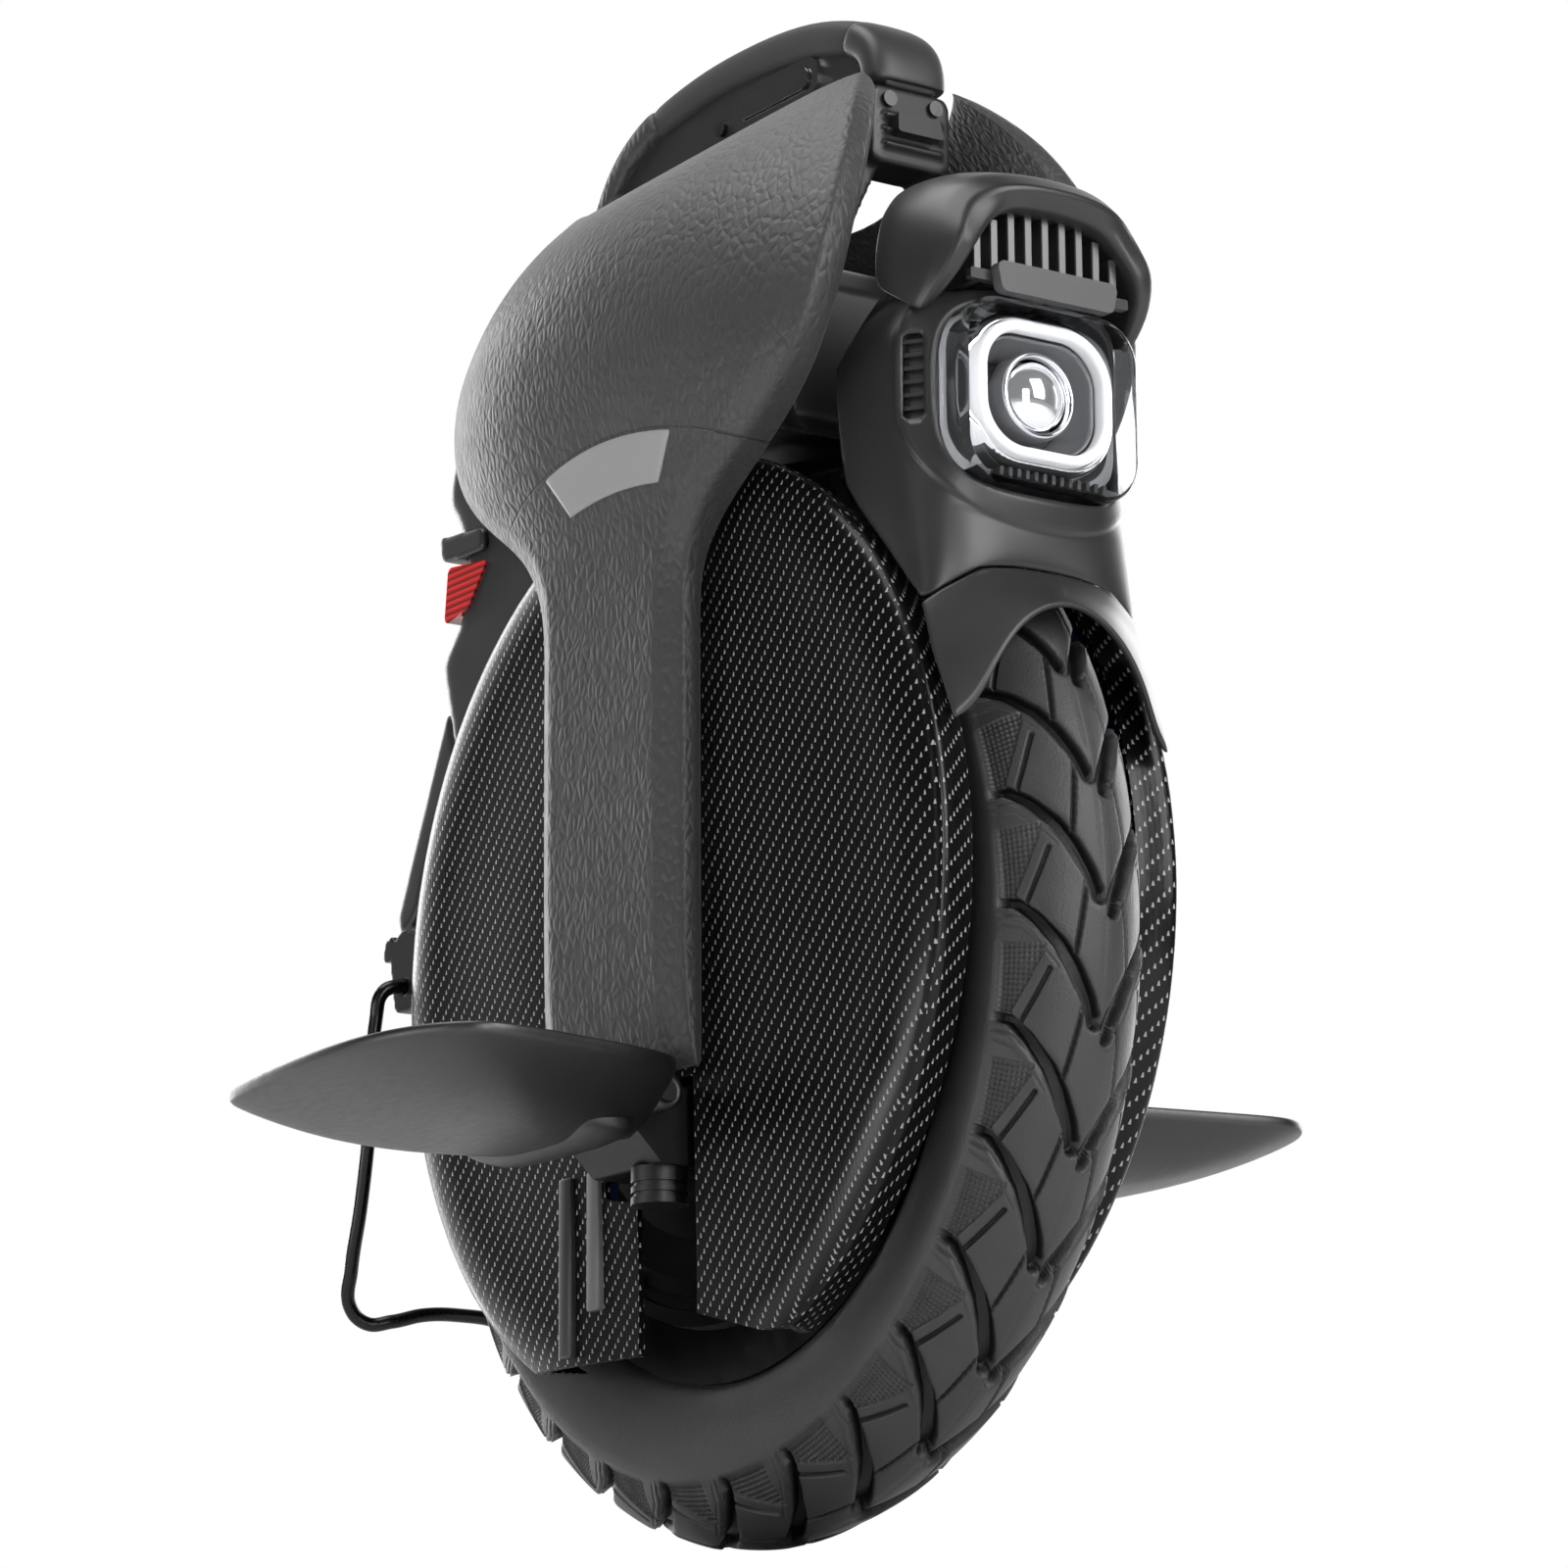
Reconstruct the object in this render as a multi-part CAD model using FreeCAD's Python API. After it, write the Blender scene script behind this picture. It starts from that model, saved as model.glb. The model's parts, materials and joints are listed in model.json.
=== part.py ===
"""Electric unicycle: one powered wheel between two shells, with leg pads and folding pedals.

Millimetres. X points forward, Y to the rider's left, Z up. The origin is the point
on the floor under the wheel axle. Each node below is one real piece.
"""
import math
import os

import FreeCAD
import Part
from FreeCAD import Vector

os.makedirs("parts", exist_ok=True)

# ---- driving dimensions -------------------------------------------------------
TYRE_R = 215.0            # 16 x 2.5 tyre, 430 mm over the tread
TYRE_HALF = 33.0          # half of the tyre's section width
BEAD_R = 149.0
RIM_HALF = 22.0           # half width over the rim flanges
AXLE_Z = TYRE_R
AXLE_R = 10.0
ARCH_R = 220.0            # inside radius of the mudguards
BODY_HALF = 37.0          # half width of the central body
COVER_X = 2.0             # centre of the round side covers
COVER_Z = 237.0
COVER_R = 186.0
COVER_IN = 38.0           # the cover's inner edge, measured from the middle plane
COVER_FACE = 61.0         # the cover's bulged face at its middle
COVER_WALL = 2.5
PAD_IN = 64.3             # back of the leg-pad stem
PAD_FACE = 80.0
STEM_Z = 174.0            # lower end of the stem
PEDAL_Z = 172.0           # tread height of the pedals
HINGE_Y = 80.0            # pedal hinge line
HINGE_Z = 164.0
PIN_R = 4.0
RUN_GAP = 0.06            # radial clearance of the running hinges
WIRE_R = 3.0              # stand wire
HANDLE_HALF = 17.0
SEAM_X = 12.0             # centre and radius of the pad's seam, which the badge follows
SEAM_Z = 209.0
SEAM_R = 216.0
NOSE_X = 184.0            # front face of the nose, round the lamp
LAMP_Z = 416.0
LAMP_TOP = 449.0
LAMP_FOOT = 376.5         # lower edge of the clear lamp cover
SPOKE_COUNT = 12          # cover bolts on each side of the motor
SLOT_COUNT = 36           # stator teeth
MAGNET_COUNT = 40

Y_AXIS = Vector(0, 1, 0)
ORIGIN = Vector(0, 0, 0)


# ---- small tools --------------------------------------------------------------
def to_plane(plane, level):
    """A function that puts a flat point on the xz, yz or xy plane at one level."""
    if plane == "xz":
        return lambda a, b: Vector(a, level, b)
    if plane == "yz":
        return lambda a, b: Vector(level, a, b)
    return lambda a, b: Vector(a, b, level)


def rounded_wire(points, radius, plane, level):
    """Closed outline through the points, with one fillet radius or one for each corner."""
    place = to_plane(plane, level)
    count = len(points)
    radii = radius if isinstance(radius, (list, tuple)) else [radius] * count
    edges = []
    joints = []
    for index in range(count):
        corner = Vector(points[index][0], points[index][1], 0)
        before = Vector(points[index - 1][0], points[index - 1][1], 0)
        after = Vector(points[(index + 1) % count][0], points[(index + 1) % count][1], 0)
        back = (before - corner).normalize()
        ahead = (after - corner).normalize()
        half = back.getAngle(ahead) / 2
        if radii[index] == 0 or half > math.radians(89.5):
            joints.append((corner, None, corner))
            continue
        reach = radii[index] / math.tan(half)
        reach = min(reach, 0.48 * (before - corner).Length, 0.48 * (after - corner).Length)
        turn = reach * math.tan(half)
        middle = (back + ahead).normalize()
        arc_mid = corner + middle * (turn / math.sin(half) - turn)
        joints.append((corner + back * reach, arc_mid, corner + ahead * reach))
    for index in range(count):
        start, mid, end = [p and place(p.x, p.y) for p in joints[index]]
        if mid is not None:
            edges.append(Part.Arc(start, mid, end).toShape())
        following = joints[(index + 1) % count][0]
        following = place(following.x, following.y)
        if (following - end).Length > 1e-6:
            edges.append(Part.makeLine(end, following))
    return Part.Wire(edges)


def prism(points, radius, plane, start, end):
    """Straight solid with a rounded outline, from one level of the plane to another."""
    face = Part.Face(rounded_wire(points, radius, plane, start))
    origin = to_plane(plane, start)(0, 0)
    return face.extrude(to_plane(plane, end)(0, 0) - origin)


def box(x0, x1, y0, y1, z0, z1):
    return Part.makeBox(x1 - x0, y1 - y0, z1 - z0, Vector(x0, y0, z0))


def rod(radius, start, end):
    start = Vector(*start)
    end = Vector(*end)
    return Part.makeCylinder(radius, (end - start).Length, start, end - start)


def turned(profile, x=0.0, z=AXLE_Z):
    """Ring or disc about a line along Y; the profile's points are (y, radius)."""
    wire = Part.makePolygon([Vector(r, y, 0) for y, r in profile + profile[:1]])
    solid = Part.Face(wire).revolve(ORIGIN, Y_AXIS, 360)
    solid.translate(Vector(x, 0, z))
    return solid


def smooth_dome(profile, x, z):
    """Solid dome about a line along Y under a smooth (y, radius) curve that ends on the axis."""
    spline = Part.BSplineCurve()
    spline.interpolate([Vector(r, y, 0) for y, r in profile])
    rim = Vector(profile[0][1], profile[0][0], 0)
    foot = Vector(0, profile[0][0], 0)
    top = Vector(profile[-1][1], profile[-1][0], 0)
    wire = Part.Wire([spline.toShape(), Part.makeLine(top, foot), Part.makeLine(foot, rim)])
    solid = Part.Face(wire).revolve(ORIGIN, Y_AXIS, 360)
    solid.translate(Vector(x, 0, z))
    return solid


def around(shape, count, x=0.0, z=AXLE_Z):
    """Equal copies of a shape about a line along Y."""
    copies = []
    for index in range(count):
        copy = shape.copy()
        copy.rotate(Vector(x, 0, z), Y_AXIS, 360.0 * index / count)
        copies.append(copy)
    return copies


def mirrored(shape):
    return shape.mirror(ORIGIN, Y_AXIS)


def both(shape):
    """The right-hand piece and its mirror image on the left."""
    return [shape, mirrored(shape)]


def pipe(points, bend, radius):
    """Round bar along straight runs joined by arcs."""
    nodes = [Vector(*p) for p in points]
    edges = []
    start = nodes[0]
    for before, corner, after in zip(nodes, nodes[1:], nodes[2:]):
        back = (before - corner).normalize()
        ahead = (after - corner).normalize()
        half = back.getAngle(ahead) / 2
        reach = bend / math.tan(half)
        limit = 0.45 * min((before - corner).Length, (after - corner).Length)
        reach = min(reach, limit)
        turn = reach * math.tan(half)
        middle = (back + ahead).normalize()
        arc_mid = corner + middle * (turn / math.sin(half) - turn)
        edges.append(Part.makeLine(start, corner + back * reach))
        edges.append(Part.Arc(corner + back * reach, arc_mid, corner + ahead * reach).toShape())
        start = corner + ahead * reach
    edges.append(Part.makeLine(start, nodes[-1]))
    circle = Part.Wire(Part.makeCircle(radius, nodes[0], nodes[1] - nodes[0]))
    return Part.Wire(edges).makePipeShell([circle], True, False)


def loft(sections, ruled=True):
    """Solid through closed outlines given as lists of points."""
    wires = [Part.makePolygon([Vector(*p) for p in run + run[:1]]) for run in sections]
    return Part.makeLoft(wires, True, ruled)


def save(name, *shapes):
    solids = [solid for shape in shapes for solid in shape.Solids]
    for solid in solids:
        if not solid.isValid() or solid.Volume <= 0:
            raise ValueError("bad solid in " + name)
    body = solids[0] if len(solids) == 1 else Part.makeCompound(solids)
    body.exportStep("parts/" + name + ".step")
    box_text = body.BoundBox
    print("%-22s %2d solids %9.1f cm3  x %.0f..%.0f y %.0f..%.0f z %.0f..%.0f" % (
        name, len(solids), sum(s.Volume for s in solids) / 1000.0, box_text.XMin, box_text.XMax,
        box_text.YMin, box_text.YMax, box_text.ZMin, box_text.ZMax))


# ---- wheel --------------------------------------------------------------------
def tyre():
    """Carcass from bead to bead with a round crown, open towards the rim."""
    crown = []
    for step in range(13):
        angle = math.radians(-90 + 15 * step)
        crown.append((TYRE_HALF * math.sin(angle), TYRE_R - 33 + 33 * math.cos(angle)))
    inside = [(0.82 * y, TYRE_R - 33 + (r - TYRE_R + 33) * 0.76) for y, r in reversed(crown)]
    outer = [(-18.5, BEAD_R), (-18.5, 152.6), (-22.4, 153.2), (-29, 163)] + crown
    outer += [(29, 163), (22.4, 153.2), (18.5, 152.6), (18.5, BEAD_R)]
    inner = [(13.5, BEAD_R)] + [(23.5, 165)] + inside + [(-23.5, 165), (-13.5, BEAD_R)]
    return turned(outer + inner)


def rim():
    """Flanged rim and the motor's outer ring in one casting."""
    half = [(RIM_HALF, BEAD_R + 3), (RIM_HALF - 3, BEAD_R + 3), (RIM_HALF - 3, BEAD_R - 0.2),
            (13.4, BEAD_R - 0.2), (9, 141)]
    back = [(-y, r) for y, r in reversed(half)]
    return turned(half + back + [(-RIM_HALF, 131), (RIM_HALF, 131)])


def motor_cover():
    """Dished end plate that carries the bearing, on the right side."""
    plate = turned([(-22.1, 131), (-27, 130), (-28.5, 112), (-27, 96), (-30, 60), (-35.5, 44),
                    (-35.5, 20.1), (-24, 20.1), (-24, 46), (-22.1, 60)])
    groove = turned([(-30, 124), (-27.2, 124), (-27.2, 118), (-30, 118)])
    return plate.cut(groove)


def rotor_magnets():
    block = box(-8.4, 8.4, -17, 17, AXLE_Z + 125.5, AXLE_Z + 129.4)
    return around(block, MAGNET_COUNT)


def cover_bolts():
    head = rod(3.0, (0, -29.4, AXLE_Z + 121), (0, -27.25, AXLE_Z + 121))
    socket = rod(1.5, (0, -30, AXLE_Z + 121), (0, -28.3, AXLE_Z + 121))
    screws = around(head.cut(socket), SPOKE_COUNT)
    return screws + [mirrored(screw) for screw in screws]


def valve_stem():
    """Rubber-footed valve that leans out of the rim on the left side."""
    root = Vector(0, RIM_HALF + 0.1, AXLE_Z + 139)
    lean = Vector(0, 1, -0.55).normalize()
    foot = Part.makeCylinder(4.4, 2.4, root + lean * 2.2, lean)
    stem = Part.makeCylinder(2.6, 4.4, root + lean * 4.6, lean)
    cap = Part.makeCylinder(3.4, 4, root + lean * 9.0, lean)
    return foot.fuse([stem, cap])


def wheel_bearing():
    bore = AXLE_R + RUN_GAP
    return turned([(-34.5, 20.1), (-24.5, 20.1), (-24.5, bore), (-34.5, bore)])


# ---- axle, stator and frame ---------------------------------------------------
def axle():
    shaft = rod(AXLE_R, (0, -52, AXLE_Z), (0, 52, AXLE_Z))
    flat = box(-20, 20, -60, -38.5, AXLE_Z + 8, AXLE_Z + 20)
    for cutter in both(flat):
        shaft = shaft.cut(cutter)
    return shaft


def stator():
    """Laminated stack with open slots between its teeth."""
    stack = turned([(-15, 124), (15, 124), (15, AXLE_R), (-15, AXLE_R)])
    slot = box(-3.4, 3.4, -20, 20, AXLE_Z + 100, AXLE_Z + 121)
    mouth = box(-1.2, 1.2, -20, 20, AXLE_Z + 118, AXLE_Z + 126)
    web = rod(14, (0, -20, AXLE_Z + 62), (0, 20, AXLE_Z + 62))
    cutters = around(slot.fuse(mouth), SLOT_COUNT) + around(web, 6)
    return stack.cut(Part.makeCompound(cutters))


def stator_coils():
    coil = box(-3.0, 3.0, -19, 19, AXLE_Z + 100.6, AXLE_Z + 117.5)
    return around(coil, SLOT_COUNT)


def axle_nut():
    nut = prism([(13 * math.cos(math.radians(60 * k)), AXLE_Z + 13 * math.sin(math.radians(60 * k)))
                 for k in range(6)], 0, "xz", -56, -47.2)
    return nut.cut(rod(AXLE_R, (0, -60, AXLE_Z), (0, -40, AXLE_Z)))


def side_frame():
    """Forged hanger on the right: strap, axle seat and the pedal arm below it."""
    strap = prism([(-34, 480), (34, 480), (34, 260), (44, 215), (30, 140), (-30, 140),
                   (-44, 215), (-34, 260)], 8, "xz", -47, -39)
    for z in (300, 360, 420):
        strap = strap.cut(rod(12, (0, -60, z), (0, -30, z)))
    arm = prism([(-47, 140), (-47, 170), (-84, 170), (-87, 164), (-84, 154), (-70, 140)],
                3, "yz", -20, 28)
    foot = rod(11, (14, -62, 126), (14, -62, 140.5))
    for level in (129, 133):
        ring = rod(14, (14, -62, level), (14, -62, level + 1.6))
        foot = foot.cut(ring.cut(rod(9.8, (14, -62, level - 1), (14, -62, level + 3))))
    seat = rod(AXLE_R, (0, -60, AXLE_Z), (0, -30, AXLE_Z))
    eye = rod(PIN_R, (-60, -HINGE_Y, HINGE_Z), (60, -HINGE_Y, HINGE_Z))
    return strap.fuse([arm, foot]).removeSplitter().cut(seat).cut(eye)


def pedal_pin():
    return rod(PIN_R, (-41.8, -HINGE_Y, HINGE_Z), (47, -HINGE_Y, HINGE_Z))


# ---- pedals -------------------------------------------------------------------
PEDAL_PLAN = [(-62, -82), (-76, -114), (-94, -193), (-60, -203), (0, -212), (54, -214.5),
              (100, -200), (90, -146), (80, -102), (66, -82)]


def pedal_section(shrink, z):
    """The pedal's outline at one depth, drawn in towards the hinge."""
    centre_x = 2.0
    centre_y = -112.0
    plan = [(centre_x + (x - centre_x) * shrink, centre_y + (y - centre_y) * shrink)
            for x, y in PEDAL_PLAN]
    return rounded_wire(plan, 15 * shrink, "xy", z)


def pedal():
    """Right pedal: thin rim above a domed belly, with two lugs for the hinge pin."""
    depths = [(1.0, 172), (1.0, 168.5), (0.95, 164.5), (0.84, 158.5), (0.64, 150.3), (0.34, 144.2)]
    plate = Part.makeLoft([pedal_section(shrink, z) for shrink, z in depths], True, True)
    lug_in = rod(7.6, (-41.8, -HINGE_Y, HINGE_Z), (-20.4, -HINGE_Y, HINGE_Z))
    lug_out = rod(7.6, (28.4, -HINGE_Y, HINGE_Z), (47, -HINGE_Y, HINGE_Z))
    block_in = box(-41.8, -20.4, -96, -HINGE_Y, 156.6, 171.4)
    block_out = box(28.4, 47, -96, -HINGE_Y, 156.6, 171.4)
    shape = plate.fuse([lug_in, lug_out, block_in, block_out]).removeSplitter()
    gap = box(-20.4, 28.4, -90.5, -70, 120, 180)
    tray = prism([(-66, -106), (-78, -190), (80, -196), (70, -106)], 8, "xy", 170.4, 176)
    bore = rod(PIN_R + RUN_GAP, (-60, -HINGE_Y, HINGE_Z), (60, -HINGE_Y, HINGE_Z))
    return shape.cut(gap).cut(tray).cut(bore)


def pedal_grip():
    """Abrasive tread sheet, let into the pedal and standing 1 mm proud."""
    return prism([(-65.5, -106.5), (-77.4, -189.4), (79.4, -195.4), (69.5, -106.5)], 7.6,
                 "xy", 170.4, PEDAL_Z + 1.0)


# ---- side covers --------------------------------------------------------------
def side_cover():
    """Round bulged shell on the right, with a slot below the pedal arm."""
    outer = [(-COVER_IN, COVER_R - 3.5), (-46, COVER_R - 1.2), (-53.5, COVER_R),
             (-57.3, COVER_R - 7), (-59, COVER_R - 30), (-60.3, 90), (-COVER_FACE, 0)]
    inner = [(-COVER_IN, COVER_R - 6), (-46, COVER_R - 4), (-52.3, COVER_R - 4),
             (-54.6, COVER_R - 9), (-56.5, COVER_R - 30), (-57.8, 90),
             (-COVER_FACE + COVER_WALL, 0)]
    shell = smooth_dome(outer, COVER_X, COVER_Z).cut(smooth_dome(inner, COVER_X, COVER_Z))
    slot = prism([(-5, 20), (-5, 130), (-27, 134), (-27, 174), (35, 174), (35, 134), (34, 20)],
                 3, "xz", -70, -30)
    foot = prism([(-140, 20), (-140, 78), (-90, 74), (34, 70), (34, 83), (74, 72), (120, 72),
                  (120, 20)], 0, "xz", -70, -30)
    strap_notch = box(-35, 35, -47.4, -30, 400, 430)
    return shell.fuse(cover_ribs()).cut(slot).cut(foot).cut(strap_notch)


def cover_ribs():
    """Two drain ribs on the rear lobe of the right cover."""
    rear = prism([(-58, 76), (-50, 76), (-50, 146), (-58, 146)], 3, "xz", -61.6, -58.4)
    front = prism([(-38, 92), (-30, 92), (-30, 146), (-38, 146)], 3, "xz", -61.6, -58.4)
    return [rear, front]


def battery():
    """The two halves of the right battery pack, before and behind the hanger."""
    disc = turned([(-54.5, 172), (-39, 172), (-39, 1), (-54.5, 1)], COVER_X, COVER_Z)
    front = disc.common(box(50, 200, -60, -30, 112, 400))
    rear = disc.common(box(-200, -50, -60, -30, 112, 400))
    return [front, rear]


# ---- leg pads -----------------------------------------------------------------
def pad_rows():
    """Level cuts through the right wing, from the stem up: rear, middle and front edge."""
    return [
        # z, rear x, rear y, middle y, front x, front y
        (392, -60, -74, -82, 63, -76),
        (410, -86, -72, -90, 93, -79),
        (432, -118, -72, -97, 132, -80),
        (460, -137, -69, -101, 147, -78),
        (490, -138, -62, -101, 146, -69),
        (516, -127, -54, -93, 140, -59),
        (540, -108, -44, -72, 128, -46),
    ]


def wing_section(row):
    z, rear_x, rear_y, middle_y, front_x, front_y = row
    thick = 13.0
    span = front_x - rear_x
    rear_mid = (rear_x + 0.22 * span, rear_y + 0.72 * (middle_y - rear_y))
    front_mid = (rear_x + 0.78 * span, front_y + 0.72 * (middle_y - front_y))
    outer = [(rear_x, rear_y), rear_mid, (rear_x + span / 2, middle_y), front_mid,
             (front_x, front_y)]
    inner = [(x, y + thick) for x, y in reversed(outer)]
    return [(x, y, z) for x, y in outer + inner]


def leg_pad():
    """Right knee pad: wing, stem and the bevel that lets the pedal fold up."""
    wing = loft([wing_section(row) for row in pad_rows()])
    stem = loft([[(-52, -PAD_IN, z), (-39, -PAD_FACE, z), (39, -PAD_FACE, z), (52, -PAD_IN, z)]
                 for z in (STEM_Z, 400)])
    bevel = prism([(-72.5, 170), (-73, 174), (-80.2, 206), (-90, 206), (-90, 170)], 0,
                  "yz", -70, 70)
    horns = []
    for rows in (front_horn(), rear_horn()):
        horns.append(loft(rows))
    badge_seat = badge_outline(0.6, -90, -82.8)
    return wing.fuse([stem] + horns).removeSplitter().cut(bevel).cut(badge_seat)


def front_horn():
    """The wing's upper front corner, drawn in towards the handle."""
    return [[(40, -67, 540), (94, -62, 540), (128, -46, 540), (126, -34, 540), (92, -48, 540),
             (42, -55, 540)],
            [(72, -46, 556), (98, -38, 556), (114, -30, 556), (112, -21, 556), (96, -27, 556),
             (74, -35, 556)],
            [(88, -30, 567), (96, -25, 567), (102, -22, 567), (101, -20.5, 567),
             (96, -20.5, 567), (88, -23, 567)]]


def rear_horn():
    """The wing's upper rear corner."""
    return [[(-108, -44, 540), (-76, -62, 540), (-30, -69, 540), (-30, -57, 540),
             (-74, -50, 540), (-104, -33, 540)],
            [(-104, -34, 556), (-84, -42, 556), (-60, -47, 556), (-60, -38, 556),
             (-82, -33, 556), (-100, -26, 556)],
            [(-100, -26, 566), (-90, -28, 566), (-80, -30, 566), (-80, -24, 566),
             (-90, -22, 566), (-98, -21, 566)]]


def badge_outline(grow, y0, y1):
    """Curved strip at the top of the stem, a piece of the ring that the pad's seam follows."""
    corners = []
    rear, front = 11.2 + grow / 4, 13.2 + grow / 4
    for radius, start, end in ((SEAM_R - 1 + grow, 90 + rear, 90 - front),
                               (SEAM_R - 21 - grow, 90 - 0.76 * front, 90 + 0.76 * rear)):
        for step in range(7):
            angle = math.radians(start + (end - start) * step / 6)
            corners.append((SEAM_X + radius * math.cos(angle), SEAM_Z + radius * math.sin(angle)))
    return prism(corners, 0, "xz", y0, y1)


def badge():
    """Blank name badge on the right pad."""
    return badge_outline(0, -84.6, -82.8)


# ---- central body -------------------------------------------------------------
def wheel_arch(half, radius=ARCH_R):
    return rod(radius, (0, -half, AXLE_Z), (0, half, AXLE_Z))


def body_shell():
    """Central tub over the wheel, open below, with the electronics bay inside."""
    outline = [(-176, 330), (-191, 387), (-176, 404), (-171, 428), (-177, 444), (-187, 458),
               (-180, 482), (-150, 506), (-70, 516), (58, 500), (70, 486), (70, 430), (140, 372),
               (168, 332), (120, 300), (-120, 300)]
    radii = [4, 6, 8, 3, 3, 10, 14, 22, 20, 12, 4, 4, 4, 4, 4, 4]
    tub = prism(outline, radii, "xz", -BODY_HALF, BODY_HALF)
    bay = prism([(-120, 452), (-120, 494), (50, 484), (50, 452)], 4, "xz", -31, 31)
    return tub.cut(wheel_arch(60)).cut(bay)


def control_board():
    board = box(-112, 42, -26, 26, 458, 460)
    chips = [box(-100 + 24 * k, -88 + 24 * k, -18, -4, 460, 468) for k in range(6)]
    capacitors = [rod(6, (-90 + 26 * k, 12, 460), (-90 + 26 * k, 12, 478)) for k in range(5)]
    return board.fuse(chips + capacitors)


def nose_shell():
    """Neck between the pads and the front mudguard, with a cradle for the lamp."""
    side = prism([(70.5, 420), (70.5, 486), (126, 480), (148, 468), (151, 453.5), (NOSE_X, 453.5),
                  (NOSE_X, 377), (181, 364), (181, 347), (172, 331), (150, 331)],
                 [3, 4, 14, 6, 2, 3, 8, 8, 3, 2, 3], "xz", -52, 52)
    front = prism([(-51, 372), (-51, 440), (-40, 490), (40, 490), (51, 440), (51, 372),
                   (51, 325), (-51, 325)], [10, 16, 16, 16, 16, 10, 8, 8], "yz", 60, 220)
    plan = prism([(60, -51), (160, -51), (175, -43), (NOSE_X, -26), (NOSE_X, 26), (175, 43),
                  (160, 51), (60, 51)], [0, 12, 14, 20, 20, 14, 12, 0], "xy", 320, 500)
    shell = side.common(front).common(plan)
    for cutter in both(cover_disc()):
        shell = shell.cut(cutter)
    tub_space = prism([(60, 500), (70.4, 490), (70.4, 430), (140.4, 372.4), (168.4, 332.2),
                       (150, 320), (60, 320)], 0, "xz", -BODY_HALF - 0.2, BODY_HALF + 0.2)
    lamp_space = lamp_outline(41.4, LAMP_FOOT - 0.5, LAMP_TOP + 0.4, 18, 149, 192)
    shell = shell.cut(wheel_arch(41)).cut(tub_space).cut(lamp_space)
    for pocket in both(box(157.2, 172.8, -60, -44.6, 400.7, 436.3)):
        shell = shell.cut(pocket)
    return shell


def cover_disc():
    """Clearance round the right side cover."""
    return turned([(-64, COVER_R + 1.5), (-36, COVER_R + 1.5), (-36, 1), (-64, 1)],
                  COVER_X, COVER_Z)


def front_fender():
    """Arched front mudguard with two side tips."""
    side = prism([(150, 330.6), (171.8, 330.6), (181.2, 347.3), (190, 343), (198, 331), (196, 302),
                  (191, 281), (184, 280), (176, 300)], [2, 2, 2, 6, 4, 12, 4, 4, 8], "xz", -51, 51)
    front = prism([(-48.5, 270), (-51, 331), (-38, 349), (38, 349), (51, 331), (48.5, 270)],
                  [2, 14, 16, 16, 14, 2], "yz", 140, 230)
    opening = prism([(-41.5, 260), (-41, 304), (-32, 320), (-16, 331), (16, 331), (32, 320),
                     (41, 304), (41.5, 260)], [2, 16, 16, 16, 16, 16, 16, 2], "yz", 187, 240)
    shell = side.common(front)
    shell = shell.cut(wheel_arch(41)).cut(opening)
    for cutter in both(cover_disc()):
        shell = shell.cut(cutter)
    tub_space = prism([(130, 380), (168.4, 332.2), (120, 290), (100, 380)], 0, "xz", -38, 38)
    return shell.cut(tub_space).cut(nose_shell())


# ---- head lamp and hood -------------------------------------------------------
def lamp_outline(half_width, low, high, corner, x0, x1):
    return prism([(-half_width, low), (-half_width, high), (half_width, high), (half_width, low)],
                 corner, "yz", x0, x1)


def lamp_housing():
    """Square-round bucket that holds the lamp's optics."""
    bucket = lamp_outline(41, 383, LAMP_TOP, 18, 149.3, 172)
    return bucket.cut(lamp_outline(37, 387, LAMP_TOP - 4, 15, 153, 180))


def lamp_reflector():
    """Bright square-round ring with a bowl behind the projector."""
    ring = lamp_outline(36.6, LAMP_Z - 28.6, LAMP_Z + 28.6, 14.6, 160, 181)
    bowl = Part.makeCone(17.5, 25, 24, Vector(158, 0, LAMP_Z), Vector(1, 0, 0))
    return ring.cut(bowl)


def lens_bezel():
    ring = rod(17.2, (161, 0, LAMP_Z), (178, 0, LAMP_Z))
    return ring.cut(rod(13.2, (150, 0, LAMP_Z), (190, 0, LAMP_Z)))


def projector_lens():
    ball = Part.makeSphere(18, Vector(165, 0, LAMP_Z))
    return ball.common(rod(13.0, (168, 0, LAMP_Z), (190, 0, LAMP_Z)))


def lamp_cover():
    """Clear outer lens over the whole lamp and the ribbed strip below it."""
    shell = lamp_outline(41, LAMP_FOOT, LAMP_TOP, 18, 172.2, 190)
    shell = shell.makeFillet(5, [e for e in shell.Edges if e.BoundBox.XMin > 189.9])
    return shell.cut(lamp_outline(38.5, LAMP_FOOT + 2, LAMP_TOP - 2.5, 15, 160, 187.5))


def chin_strip():
    """Ribbed dark strip under the lamp, inside its cover."""
    strip = prism([(-28, 379.4), (-33, 382.6), (33, 382.6), (28, 379.4)], 0, "yz", 160, 184)
    ribs = [box(183.9, 187, y - 0.8, y + 0.8, 379.6, 382.6) for y in range(-24, 25, 4)]
    return strip.fuse(ribs)


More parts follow.
